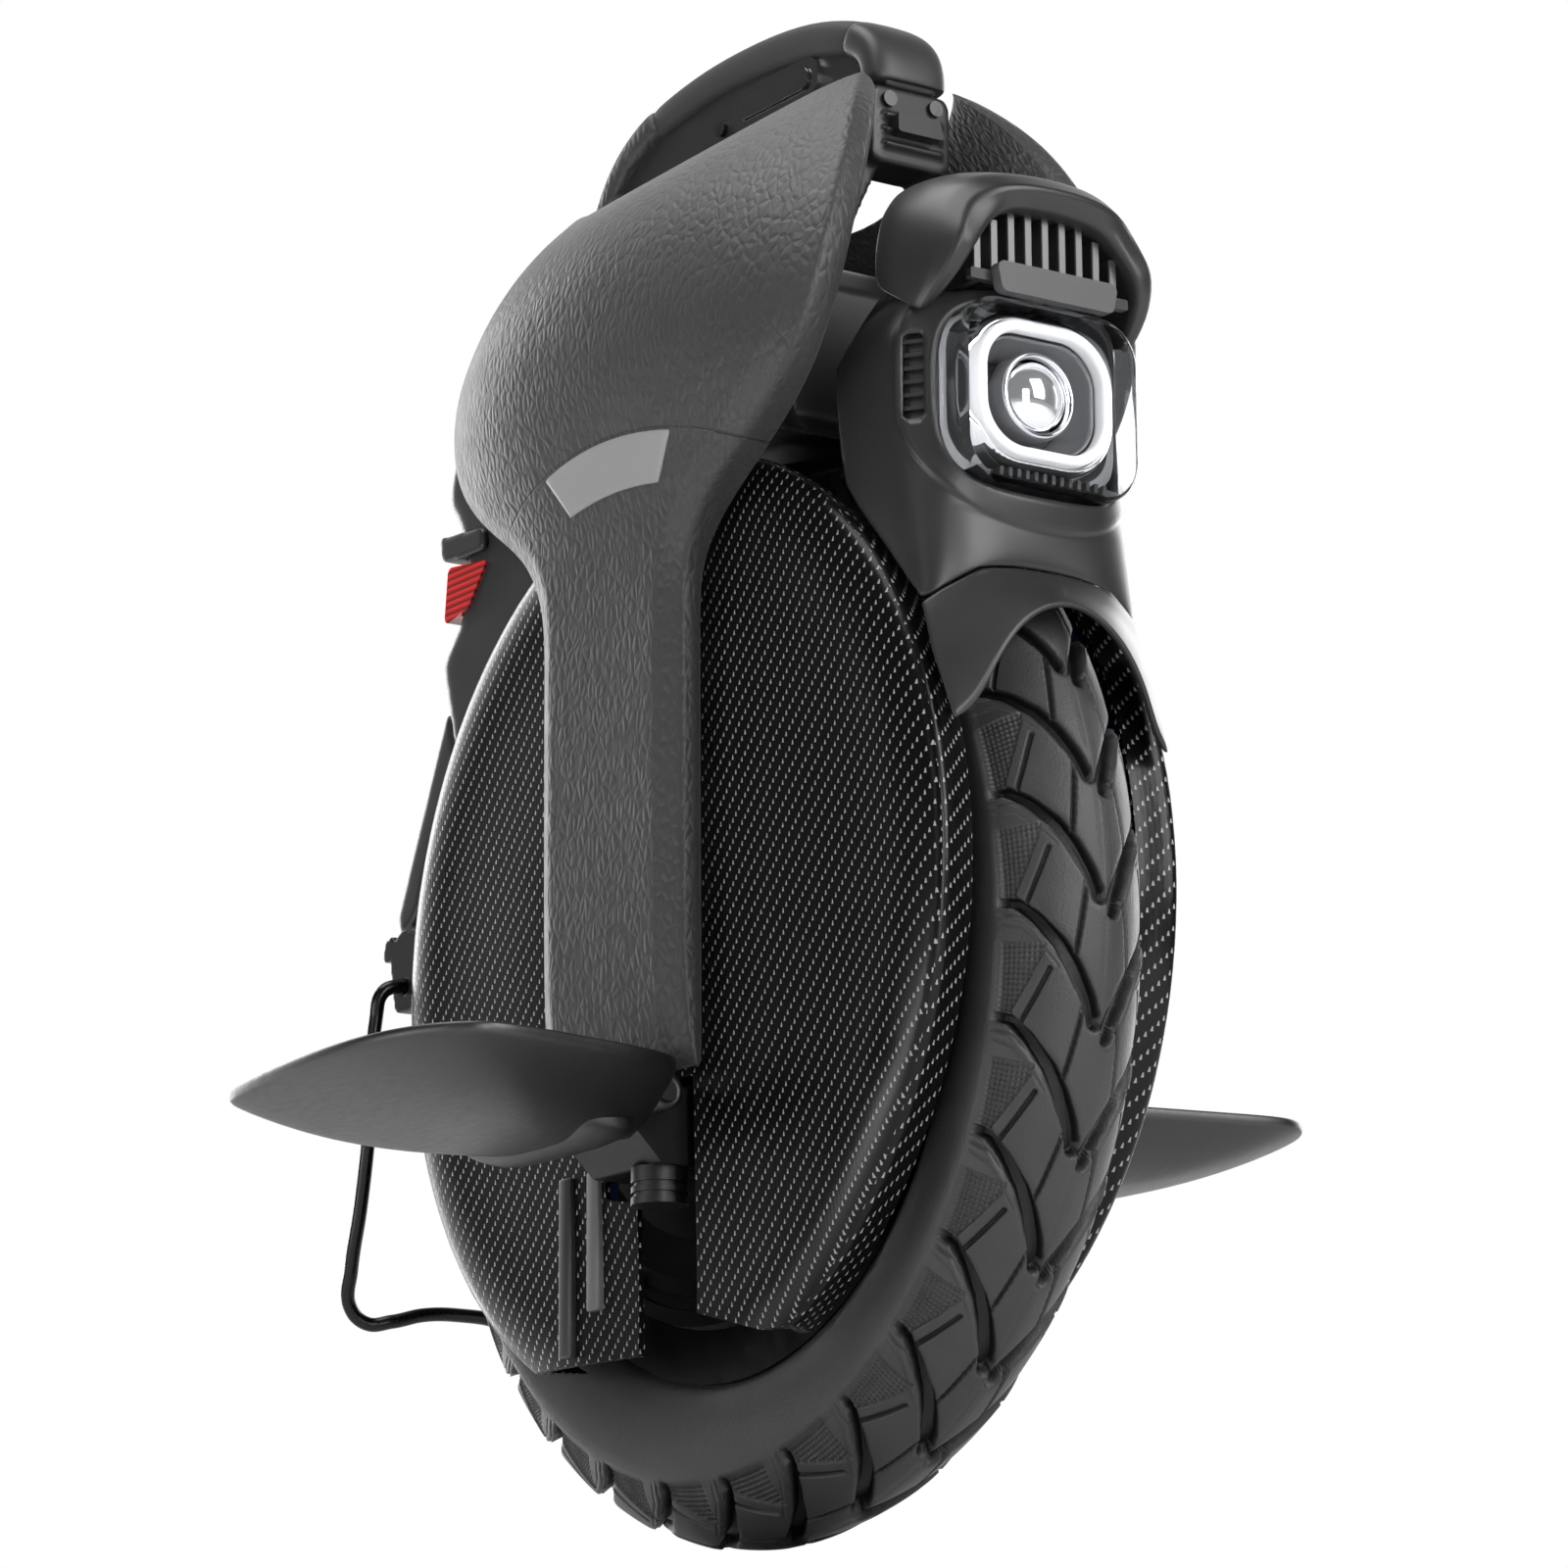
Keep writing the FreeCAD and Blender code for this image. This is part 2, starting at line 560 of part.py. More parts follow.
def hood():
    """Visor over the heat sink and the lamp, with flanks down both sides."""
    side = prism([(145, 459), (146, 505.5), (167, 505.5), (186, 500), (197, 491), (194, 470),
                  (188, 456), (181, 449), (171, 443), (160, 452)],
                 [3, 6, 10, 8, 3, 12, 6, 4, 3, 4], "xz", -54, 54)
    front = prism([(-51.5, 430), (-52.5, 466), (-45, 486), (-34, 505.5), (34, 505.5), (45, 486),
                   (52.5, 466), (51.5, 430)], [3, 16, 14, 14, 14, 14, 16, 3], "yz", 130, 230)
    hollow = prism([(-45.5, 420), (-45.5, 458), (-39, 470), (-28, 484), (28, 484), (39, 470),
                    (45.5, 458), (45.5, 420)], [2, 8, 8, 8, 8, 8, 8, 2], "yz", 151, 240)
    return side.common(front).cut(hollow).cut(nose_shell())


def heat_sink():
    """Upright cooling fins behind the hood's mouth."""
    back = box(152.2, 155, -36, 36, 453.7, 470)
    fins = [box(154.9, NOSE_X, y - 1.1, y + 1.1, 453.7, 482 - 0.012 * y * y)
            for y in range(-32, 33, 8)]
    return back.fuse(fins).removeSplitter()


def name_plate():
    """Blank plate on the hood's lower lip."""
    return prism([(-26, 449.3), (26, 449.3), (28.5, 461), (-28.5, 461)], 3, "yz", 187.5, 192.5)


def plate_bar():
    """Cross bar that carries the blank plate."""
    return prism([(-37, 453.8), (37, 453.8), (37, 458), (-37, 458)], 1, "yz", NOSE_X + 0.1, 187.4)


def side_vent():
    """Slatted air intake beside the lamp on the right."""
    frame = box(157.5, 172.5, -50.6, -45, 401, 436)
    for z in range(404, 432, 5):
        frame = frame.cut(box(160, 170, -60, -47, z, z + 3.2))
    return frame


# ---- rear end -----------------------------------------------------------------
def rear_mudguard():
    """Flap that follows the tyre behind the body."""
    flap = prism([(-170, 326), (-184, 364), (-189, 366), (-228, 284), (-225, 277), (-216, 279)],
                 [0, 4, 4, 3, 2, 3], "xz", -36, 36)
    return flap.cut(wheel_arch(50, ARCH_R + 1)).cut(body_shell())


def tail_lamp():
    """Red lens in the body's rear recess, wrapped round both corners."""
    lens = prism([(-184, 428), (-153, 424.5), (-168, 407), (-187, 403)], [3, 1, 1, 3], "xz",
                 -38.2, 38.2)
    return lens.cut(body_shell())


def tail_hood():
    """Ledge over the tail lamp."""
    ledge = prism([(-189, 442), (-154, 439), (-152, 429), (-172, 429.2), (-187, 431)],
                  [2, 3, 3, 1, 2], "xz", -40, 40)
    return ledge.cut(body_shell()).cut(tail_lamp())


def stand_bracket():
    """Two ears and a bridge at the rear that carry the stand."""
    ears = []
    for ear in both(prism([(-185, 238), (-212, 240), (-217, 268), (-206, 275), (-185, 268)], 3,
                          "xz", -46, -38.5)):
        ears.append(ear.cut(rod(WIRE_R + RUN_GAP, (-204, -70, 250), (-204, 70, 250))))
    bridge = prism([(-214.5, 262), (-222, 264), (-220, 272), (-213.5, 274)], 1.5, "xz", -46, 46)
    links = both(box(-220, -205, -46, -39.5, 263, 271))
    bar = bridge.fuse(links)
    return [ears[0].fuse([bar, ears[1]]).removeSplitter()]


def stand_wire():
    """Bent wire stand, stowed behind the tyre."""
    half = [(-204, -39, 250), (-204, -56, 250), (-213, -55, 190), (-238, -52, 136),
            (-240, -44, 114), (-232, -22, 118)]
    points = half + [(x, -y, z) for x, y, z in reversed(half)]
    return pipe(points, 8, WIRE_R)


# ---- handle -------------------------------------------------------------------
HANDLE_TOP = [(-104, 579), (-62, 602), (-20, 608), (30, 608), (68, 601), (94, 590), (107, 572)]
HANDLE_LOW = [(101, 559), (90, 557), (72, 561), (30, 567), (-20, 568), (-54, 561), (-74, 542),
              (-80, 516.6)]


def handle_frame():
    """Rigid arch from the body's rear end over to the front bracket."""
    outline = [(-124, 513)] + [(x, z - 9) for x, z in HANDLE_TOP[:-1]] + [(101, 568)] + HANDLE_LOW
    radii = [8] + [90] * (len(HANDLE_TOP) - 1) + [6, 6, 30, 90, 90, 90, 60, 40, 6]
    frame = prism(outline, radii, "xz", -13, 13)
    return frame.cut(body_shell()).cut(front_bracket())


def band(x0, x1, half, thick):
    """A slice of the handle's outer band between two stations."""
    top = [(-124, 513)] + HANDLE_TOP + [(104, 561)]
    under = [(-120, 500), (-98, 570)] + [(x, z - thick) for x, z in HANDLE_TOP[1:-2]]
    under += [(86, 578), (96, 561)]
    radii = [6, 24] + [90] * (len(HANDLE_TOP) - 2) + [8, 6, 6, 8] + [90] * 5 + [30, 6]
    outer = prism(top + list(reversed(under)), radii, "xz", -half, half)
    return outer.common(box(x0, x1, -60, 60, 500, 640))


def handle_grip():
    grip = band(-62, 82, HANDLE_HALF, 16)
    grip = grip.cut(handle_frame())
    return grip


def handle_front_cap():
    return band(82.4, 120, HANDLE_HALF + 1, 16).cut(handle_frame()).cut(front_bracket())


def handle_root_cover():
    return band(-130, -62.4, HANDLE_HALF + 1, 16).cut(handle_frame()).cut(body_shell())


def front_bracket():
    """Ribbed bridge that joins both pads to the front of the handle."""
    bridge = prism([(-19, 530), (-19, 562), (19, 562), (19, 530)], 5, "yz", 78, 100)
    legs = []
    for sign in (-1, 1):
        legs.append(loft([[(79, sign * 10, 534), (95, sign * 10, 534), (95, sign * 19, 540),
                           (79, sign * 19, 540)],
                          [(68, sign * 28, 484), (84, sign * 28, 484), (84, sign * 36, 488),
                           (68, sign * 36, 488)]]))
    ribs = [box(100, 103, -14, 14, z, z + 2) for z in (536, 542, 548)]
    return bridge.fuse(legs + ribs).removeSplitter().cut([nose_shell(), body_shell()])


def bracket_clip():
    return prism([(-11, 541), (-11, 549), (9, 549), (11, 541)], 1.5, "yz", 99, 107).cut(
        front_bracket())


def display():
    """Small status window on the body's top, under the handle."""
    return prism([(-52, -14), (-52, 14), (-14, 14), (-14, -14)], 5, "xy", 516.4, 518.4)


BUTTON_R = 9.0
BUTTON_X = 14.0


def power_button():
    """Push button on the body's top."""
    return rod(BUTTON_R, (BUTTON_X, 0, 508.6), (BUTTON_X, 0, 513.0))


def button_ring():
    ring = rod(BUTTON_R + 4, (BUTTON_X, 0, 507.6), (BUTTON_X, 0, 511.2))
    ring = ring.cut(rod(BUTTON_R + 0.4, (BUTTON_X, 0, 500), (BUTTON_X, 0, 520)))
    return ring.cut(body_shell())


LIFT_X = 28.0
LIFT_Z = 579.5


def stadium(half_length, half_height, x, z, y0, y1):
    """Rounded slot outline on the side of the handle."""
    return prism([(x - half_length, z - half_height), (x - half_length, z + half_height),
                  (x + half_length, z + half_height), (x + half_length, z - half_height)],
                 half_height - 0.01, "xz", y0, y1)


def lift_button():
    """Long oval motor cut-off button on the handle's right side."""
    return stadium(25, 4.6, LIFT_X, LIFT_Z, -16.6, -14.3)


def lift_ring():
    ring = stadium(30.5, 8.6, LIFT_X, LIFT_Z, -15.4, -13.05)
    return ring.cut(stadium(25.4, 5.0, LIFT_X, LIFT_Z, -20, -10))


def charge_port():
    """Round charging socket in the body's left flank."""
    seat = rod(11, (-150, 37.05, 452), (-150, 40, 452))
    return seat.cut(rod(7.5, (-150, 38.2, 452), (-150, 50, 452)))


def charge_cap():
    """Rubber flap over the charging socket."""
    disc = rod(12, (-150, 40.4, 452), (-150, 42.4, 452))
    tab = box(-155, -145, 40.4, 42.4, 463, 467)
    return disc.fuse(tab)


def body_screws():
    """Screws of the handle's web and the front bracket, all one size."""
    heads = []
    for x, z in ((-12, 577), (82, 569)):
        heads.append(rod(3.2, (x, -15, z), (x, -13.05, z)))
    heads.append(rod(3.2, (100, -11, 556), (101.9, -11, 556)))
    return [piece for head in heads for piece in both(head)]


# ---- write every node ---------------------------------------------------------
save("tyre", tyre())
save("rim", rim())
save("motor_cover_right", motor_cover())
save("motor_cover_left", mirrored(motor_cover()))
save("rotor_magnets", *rotor_magnets())
save("cover_bolts", *cover_bolts())
save("valve_stem", valve_stem())
save("wheel_bearings", *both(wheel_bearing()))
save("axle", axle())
save("stator", stator())
save("stator_coils", *stator_coils())
save("axle_nuts", *both(axle_nut()))
save("body_shell", body_shell())
save("control_board", control_board())
save("nose_shell", nose_shell())
save("front_fender", front_fender())
save("lamp_housing", lamp_housing())
save("lamp_reflector", lamp_reflector())
save("lens_bezel", lens_bezel())
save("projector_lens", projector_lens())
save("lamp_cover", lamp_cover())
save("chin_strip", chin_strip())
save("hood", hood())
save("heat_sink", heat_sink())
save("name_plate", name_plate())
save("plate_bar", plate_bar())
save("rear_mudguard", rear_mudguard())
save("tail_lamp", tail_lamp())
save("tail_hood", tail_hood())
save("stand_bracket", *stand_bracket())
save("stand_wire", stand_wire())
save("handle_frame", handle_frame())
save("handle_grip", handle_grip())
save("handle_front_cap", handle_front_cap())
save("handle_root_cover", handle_root_cover())
save("front_bracket", front_bracket())
save("bracket_clip", bracket_clip())
save("display", display())
save("power_button", power_button())
save("button_ring", button_ring())
save("lift_button", lift_button())
save("lift_ring", lift_ring())
save("charge_port", charge_port())
save("charge_cap", charge_cap())
save("body_screws", *body_screws())
save("pedal_pins", *both(pedal_pin()))
save("badges", *both(badge()))
save("side_vents", *both(side_vent()))
for side, place in (("right", lambda shape: shape), ("left", mirrored)):
    save("side_frame_" + side, place(side_frame()))
    save("pedal_" + side, place(pedal()))
    save("pedal_grip_" + side, place(pedal_grip()))
    save("side_cover_" + side, place(side_cover()))
    save("battery_" + side, *[place(half) for half in battery()])
    save("pad_" + side, place(leg_pad()))
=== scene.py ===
"""Looks of the electric unicycle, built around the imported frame. Metres; sizes below are in mm."""
import json
import math

import bmesh
import bpy
import numpy as np
from mathutils import Matrix, Vector
from mathutils.bvhtree import BVHTree


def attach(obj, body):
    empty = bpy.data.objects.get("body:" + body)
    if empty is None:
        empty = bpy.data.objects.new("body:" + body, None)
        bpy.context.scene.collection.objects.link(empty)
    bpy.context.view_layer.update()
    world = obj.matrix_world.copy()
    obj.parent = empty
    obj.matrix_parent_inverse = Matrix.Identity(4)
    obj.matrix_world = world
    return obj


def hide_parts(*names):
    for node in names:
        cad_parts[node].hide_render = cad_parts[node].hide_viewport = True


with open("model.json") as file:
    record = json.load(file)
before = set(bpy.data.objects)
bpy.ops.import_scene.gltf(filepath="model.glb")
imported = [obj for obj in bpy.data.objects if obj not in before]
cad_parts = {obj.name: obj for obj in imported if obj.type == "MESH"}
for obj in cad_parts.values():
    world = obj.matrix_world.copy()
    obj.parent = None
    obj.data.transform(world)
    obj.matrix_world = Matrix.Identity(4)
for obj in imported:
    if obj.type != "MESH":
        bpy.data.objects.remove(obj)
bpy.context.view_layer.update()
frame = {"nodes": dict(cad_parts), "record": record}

MM = 0.001
AXLE_Z = 215.0
TYRE_R = 215.0
LAMP_Z = 416.0
SECTION_R = 33.0            # radius of the tyre's round crown
SEAM_X, SEAM_Z, SEAM_R = 12.0, 209.0, 216.0    # the seam across the leg pads
SEAM_LOWEST = 388.0         # no seam is drawn under this height
CHASSIS = "chassis"


# ---- node tools ---------------------------------------------------------------
class Nodes:
    """Short calls for one material's node tree."""

    def __init__(self, name, colour, rough, metal=0.0):
        self.mat = bpy.data.materials.new(name)
        self.mat.use_nodes = True
        self.tree = self.mat.node_tree
        self.bsdf = self.tree.nodes["Principled BSDF"]
        self.set("Base Color", (*colour, 1.0))
        self.set("Roughness", rough)
        self.set("Metallic", metal)
        self.coords = self.tree.nodes.new("ShaderNodeTexCoord").outputs["Object"]

    def set(self, name, value):
        self.bsdf.inputs[name].default_value = value

    def link(self, a, b):
        self.tree.links.new(a, b)

    def calc(self, op, a, b=None, c=None):
        node = self.tree.nodes.new("ShaderNodeMath")
        node.operation = op
        for slot, value in zip(node.inputs, (a, b, c)):
            if value is None:
                continue
            if isinstance(value, (int, float)):
                slot.default_value = value
            else:
                self.link(value, slot)
        return node.outputs[0]

    def axes(self, vector=None):
        node = self.tree.nodes.new("ShaderNodeSeparateXYZ")
        self.link(vector or self.coords, node.inputs[0])
        return node.outputs

    def scaled(self, x, y, z):
        node = self.tree.nodes.new("ShaderNodeMapping")
        node.inputs["Scale"].default_value = (x, y, z)
        self.link(self.coords, node.inputs["Vector"])
        return node.outputs[0]

    def noise(self, scale, detail=3.0, vector=None):
        node = self.tree.nodes.new("ShaderNodeTexNoise")
        node.inputs["Scale"].default_value = scale
        node.inputs["Detail"].default_value = detail
        self.link(vector or self.coords, node.inputs["Vector"])
        return node.outputs["Fac"]

    def cells(self, scale, feature="DISTANCE_TO_EDGE", vector=None):
        node = self.tree.nodes.new("ShaderNodeTexVoronoi")
        node.feature = feature
        node.inputs["Scale"].default_value = scale
        self.link(vector or self.coords, node.inputs["Vector"])
        return node.outputs["Distance"]

    def span(self, value, low, high, to_low, to_high):
        node = self.tree.nodes.new("ShaderNodeMapRange")
        self.link(value, node.inputs["Value"])
        for name, number in (("From Min", low), ("From Max", high),
                             ("To Min", to_low), ("To Max", to_high)):
            node.inputs[name].default_value = number
        return node.outputs[0]

    def pick(self, chosen, yes, no):
        """One of two values: yes where chosen is 1, no where it is 0."""
        return self.calc("ADD", self.calc("MULTIPLY", chosen, yes),
                         self.calc("MULTIPLY", self.calc("SUBTRACT", 1.0, chosen), no))

    def blend(self, factor, low, high):
        """Mix of two colours; low may also be another node's output."""
        node = self.tree.nodes.new("ShaderNodeMix")
        node.data_type = "RGBA"
        if isinstance(low, tuple):
            node.inputs["A"].default_value = (*low, 1.0)
        else:
            self.link(low, node.inputs["A"])
        node.inputs["B"].default_value = (*high, 1.0)
        self.link(factor, node.inputs["Factor"])
        return node.outputs["Result"]

    def colour(self, factor, low, high):
        self.link(self.blend(factor, low, high), self.bsdf.inputs["Base Color"])

    def rough(self, factor, low, high):
        self.link(self.span(factor, 0.0, 1.0, low, high), self.bsdf.inputs["Roughness"])

    def bump(self, height, strength, distance):
        """Adds a bump of a height in 0..1; later calls lie on top of earlier ones."""
        node = self.tree.nodes.new("ShaderNodeBump")
        node.inputs["Strength"].default_value = strength
        node.inputs["Distance"].default_value = distance * MM
        self.link(height, node.inputs["Height"])
        normal = self.bsdf.inputs["Normal"]
        if normal.links:
            self.link(normal.links[0].from_socket, node.inputs["Normal"])
        self.link(node.outputs["Normal"], normal)


# ---- materials ----------------------------------------------------------------
def moulded(name, colour, rough, grain=0.25, mottle=0.25):
    """Moulded plastic: fine spark-eroded grain and slightly uneven gloss."""
    m = Nodes(name, colour, rough)
    lighter = tuple(c * (1.0 + mottle) + 0.002 for c in colour)
    m.colour(m.noise(35.0, 4.0), colour, lighter)
    m.rough(m.noise(60.0, 5.0), rough - 0.06, rough + 0.08)
    m.bump(m.noise(1900.0, 2.0), grain, 0.05)
    return m.mat


def tyre_rubber():
    """Rubber with painted shade, darker in the grooves; how deep a place lies is read off the tyre's
    own section.
    """
    m = Nodes("tyre_rubber", (0.028, 0.028, 0.029), 0.55)
    axes = m.axes()
    height = m.calc("SUBTRACT", axes["Z"], AXLE_Z * MM)
    from_axle = m.calc("SQRT", m.calc("ADD", m.calc("MULTIPLY", axes["X"], axes["X"]),
                                      m.calc("MULTIPLY", height, height)))
    out = m.calc("SUBTRACT", from_axle, (TYRE_R - SECTION_R) * MM)
    section = m.calc("SQRT", m.calc("ADD", m.calc("MULTIPLY", axes["Y"], axes["Y"]),
                                    m.calc("MULTIPLY", out, out)))
    raised = m.span(section, (SECTION_R - 4.5) * MM, (SECTION_R - 1.2) * MM, 0.0, 1.0)
    wall = m.span(m.calc("ABSOLUTE", axes["Y"]), 31.5 * MM, 32.5 * MM, 0.0, 1.0)
    groove_shade_and_mottle = m.calc("MAXIMUM", raised, wall)
    groove_shade_and_mottle = m.calc("MULTIPLY", groove_shade_and_mottle, m.span(m.noise(45.0, 6.0), 0.3, 0.7, 0.75, 1.0))
    # Painted shade: the grooves are coloured near black and the crown lighter, with random mottle on
    # top.
    m.colour(groove_shade_and_mottle, (0.004, 0.004, 0.004), (0.042, 0.042, 0.043))
    m.rough(m.noise(90.0, 4.0), 0.38, 0.55)
    m.bump(m.noise(1100.0, 2.0), 0.6, 0.3)
    return m.mat


def woven_shell():
    """Satin twill: one float in four cells carries a painted highlight, stepping diagonally, laid
    from three sides.
    """
    cell = 2.05 * MM
    m = Nodes("woven_shell", (0.01, 0.01, 0.011), 0.3)
    axes = m.axes()
    geometry = m.tree.nodes.new("ShaderNodeNewGeometry")
    facing = m.axes(geometry.outputs["Normal"])
    side_on = m.calc("GREATER_THAN", m.calc("ABSOLUTE", facing["Y"]), 0.6)
    end_on = m.calc("GREATER_THAN", m.calc("ABSOLUTE", facing["X"]),
                    m.calc("ABSOLUTE", facing["Z"]))
    across_axis = m.pick(side_on, axes["X"], axes["Y"])
    along_axis = m.pick(side_on, axes["Z"], m.pick(end_on, axes["Z"], axes["X"]))
    u = m.calc("DIVIDE", across_axis, cell)
    v = m.calc("DIVIDE", along_axis, cell)
    column = m.calc("FLOOR", u)
    row = m.calc("FLOOR", v)
    across = m.calc("SUBTRACT", u, column)
    along = m.calc("SUBTRACT", v, row)
    step = m.calc("FRACT", m.calc("DIVIDE", m.calc("SUBTRACT", column, row), 4.0))
    chosen = m.calc("LESS_THAN", step, 0.12)
    off = m.calc("ABSOLUTE", m.calc("SUBTRACT", across, 0.5))
    taper = m.span(along, 0.0, 1.0, 0.34, 0.12)
    float_glint = m.calc("MULTIPLY", m.span(m.calc("SUBTRACT", taper, off), 0.0, 0.12, 0.0, 1.0), chosen)
    ends = m.span(m.calc("ABSOLUTE", m.calc("SUBTRACT", along, 0.5)), 0.38, 0.5, 1.0, 0.0)
    float_glint = m.calc("MULTIPLY", float_glint, ends)
    # Painted highlight: the float is coloured light grey on the black weave, standing in for the
    # glint of light on it.
    m.colour(float_glint, (0.0035, 0.0035, 0.004), (0.36, 0.36, 0.365))
    thread = m.calc("SINE", m.calc("MULTIPLY", across, math.pi))
    m.bump(m.calc("ADD", m.calc("MULTIPLY", thread, 0.35), float_glint), 0.3, 0.2)
    m.rough(m.noise(50.0, 3.0), 0.24, 0.32)
    m.set("Specular IOR Level", 0.22)
    m.set("Coat Weight", 0.1)
    m.set("Coat Roughness", 0.14)
    return m.mat


def grained_pad(name, seams):
    """Soft leather-grained rubber, with a fine dark seam across the outer face."""
    m = Nodes(name, (0.045, 0.045, 0.046), 0.5)
    warped = m.scaled(1.0, 1.0, 0.6)
    creases = m.span(m.cells(250.0, vector=warped), 0.0, 0.3, 0.0, 1.0)
    m.bump(creases, 0.5, 0.45)
    m.bump(m.noise(210.0, 5.0, warped), 0.4, 0.8)
    tone = m.blend(m.noise(24.0, 3.0), (0.029, 0.029, 0.030), (0.043, 0.043, 0.044))
    if seams:
        axes = m.axes()
        dx = m.calc("SUBTRACT", axes["X"], SEAM_X * MM)
        dz = m.calc("SUBTRACT", axes["Z"], SEAM_Z * MM)
        radius = m.calc("SQRT", m.calc("ADD", m.calc("MULTIPLY", dx, dx),
                                       m.calc("MULTIPLY", dz, dz)))
        gap = m.calc("ABSOLUTE", m.calc("SUBTRACT", radius, SEAM_R * MM))
        line = m.span(gap, 0.25 * MM, 0.6 * MM, 1.0, 0.0)
        line = m.calc("MULTIPLY", line, m.calc("GREATER_THAN", axes["Z"], SEAM_LOWEST * MM))
        tone = m.blend(line, tone, (0.006, 0.006, 0.006))
        m.bump(m.calc("SUBTRACT", 1.0, line), 0.6, 0.8)
    m.link(tone, m.bsdf.inputs["Base Color"])
    m.rough(m.noise(70.0, 4.0), 0.40, 0.55)
    m.set("Sheen Weight", 0.12)
    m.set("Sheen Roughness", 0.5)
    return m.mat


def metal(name, colour, rough, wear=0.1):
    m = Nodes(name, colour, rough, 1.0)
    m.rough(m.noise(140.0, 6.0, m.scaled(1.0, 6.0, 1.0)), max(rough - wear, 0.02), rough + wear)
    m.bump(m.noise(500.0, 2.0), 0.08, 0.04)
    return m.mat


def clear(name, tint, rough, ior):
    m = Nodes(name, tint, rough)
    m.set("Transmission Weight", 1.0)
    m.set("IOR", ior)
    m.bump(m.noise(20.0, 1.0), 0.03, 0.05)
    return m.mat


def tread_sheet():
    """Grit-coated anti-slip sheet."""
    m = Nodes("tread_sheet", (0.022, 0.022, 0.023), 0.85)
    grit = m.cells(1100.0, "F1")
    m.colour(grit, (0.012, 0.012, 0.012), (0.055, 0.055, 0.056))
    m.bump(grit, 0.7, 0.5)
    return m.mat


def red_lens():
    m = Nodes("tail_red", (0.45, 0.004, 0.004), 0.16)
    prisms = m.calc("SINE", m.calc("MULTIPLY", m.axes()["Z"], 2 * math.pi / (3.0 * MM)))
    m.colour(m.span(prisms, -1.0, 1.0, 0.0, 1.0), (0.22, 0.002, 0.002), (0.85, 0.012, 0.01))
    m.bump(prisms, 0.4, 0.4)
    m.set("Coat Weight", 0.8)
    return m.mat


def glowing(material, strength):
    """A lamp's piece that looks faintly lit from inside."""
    shader = next(n for n in material.node_tree.nodes if n.type == "BSDF_PRINCIPLED")
    shader.inputs["Emission Color"].default_value = (1.0, 1.0, 1.0, 1)
    shader.inputs["Emission Strength"].default_value = strength
    return material


def make_materials():
    return {
        "tyre_rubber": tyre_rubber(),
        "woven_shell": woven_shell(),
        "grained_pad": grained_pad("grained_pad", True),
        "grained_trim": grained_pad("grained_trim", False),
        "tread_sheet": tread_sheet(),
        "tail_red": red_lens(),
        "body_plastic": moulded("body_plastic", (0.022, 0.022, 0.023), 0.34),
        "handle_plastic": moulded("handle_plastic", (0.032, 0.032, 0.033), 0.42),
        "grip_rubber": moulded("grip_rubber", (0.038, 0.038, 0.039), 0.62, 0.5, 0.1),
        "badge_grey": moulded("badge_grey", (0.33, 0.33, 0.335), 0.42, 0.15, 0.05),
        "plate_metal": moulded("plate_metal", (0.075, 0.075, 0.077), 0.36),
        "button_plastic": moulded("button_plastic", (0.03, 0.03, 0.032), 0.2),
        "display_glass": moulded("display_glass", (0.006, 0.006, 0.008), 0.06, 0.02),
        "circuit": moulded("circuit", (0.01, 0.12, 0.045), 0.4),
        "cell_pack": moulded("cell_pack", (0.02, 0.05, 0.14), 0.3),
        "valve_rubber": moulded("valve_rubber", (0.02, 0.02, 0.02), 0.6),
        "pedal_metal": metal("pedal_metal", (0.085, 0.085, 0.087), 0.42),
        "frame_metal": metal("frame_metal", (0.05, 0.05, 0.052), 0.45),
        "cast_metal": metal("cast_metal", (0.03, 0.03, 0.032), 0.32),
        "sink_metal": metal("sink_metal", (0.2, 0.2, 0.205), 0.42),
        "stand_steel": metal("stand_steel", (0.035, 0.035, 0.037), 0.28),
        "bolt_steel": metal("bolt_steel", (0.12, 0.12, 0.124), 0.3),
        "magnet": metal("magnet", (0.5, 0.5, 0.52), 0.3),
        "lamination": metal("lamination", (0.3, 0.3, 0.31), 0.5),
        "copper": metal("copper", (0.75, 0.32, 0.16), 0.3),
        "lamp_chrome": metal("lamp_chrome", (0.86, 0.86, 0.87), 0.05, 0.03),
        "rib_grey": moulded("rib_grey", (0.11, 0.11, 0.112), 0.4),
        "bowl_chrome": moulded("bowl_chrome", (0.2, 0.2, 0.205), 0.18, 0.05),
        "lens_glass": clear("lens_glass", (0.97, 0.98, 1.0), 0.0, 1.18),
        # The lens's faint glow is a painted highlight, standing in for a bright reflection on the
        # lens.
        "lens_solid": glowing(metal("lens_solid", (0.8, 0.81, 0.83), 0.1, 0.02), 0.2),
        "housing_satin": moulded("housing_satin", (0.26, 0.26, 0.262), 0.35, 0.1),
        "light_ring": glowing(moulded("light_ring", (0.82, 0.82, 0.83), 0.25, 0.05, 0.02), 0.25),
    }


MATERIALS = make_materials()


def paint_frame():
    """Every CAD node takes its record slot's material, or a finer one made for it."""
    finer = {"projector_lens": "lens_solid", "lamp_housing": "housing_satin"}
    for entry in frame["record"]["subparts"]:
        node = frame["nodes"][entry["node"]]
        node.data.materials.clear()
        node.data.materials.append(MATERIALS[finer.get(entry["node"], entry["material_slot"])])


# ---- mesh tools ---------------------------------------------------------------
def add(name, data):
    """Puts an object with this data into the scene."""
    obj = bpy.data.objects.new(name, data)
    bpy.context.scene.collection.objects.link(obj)
    return obj


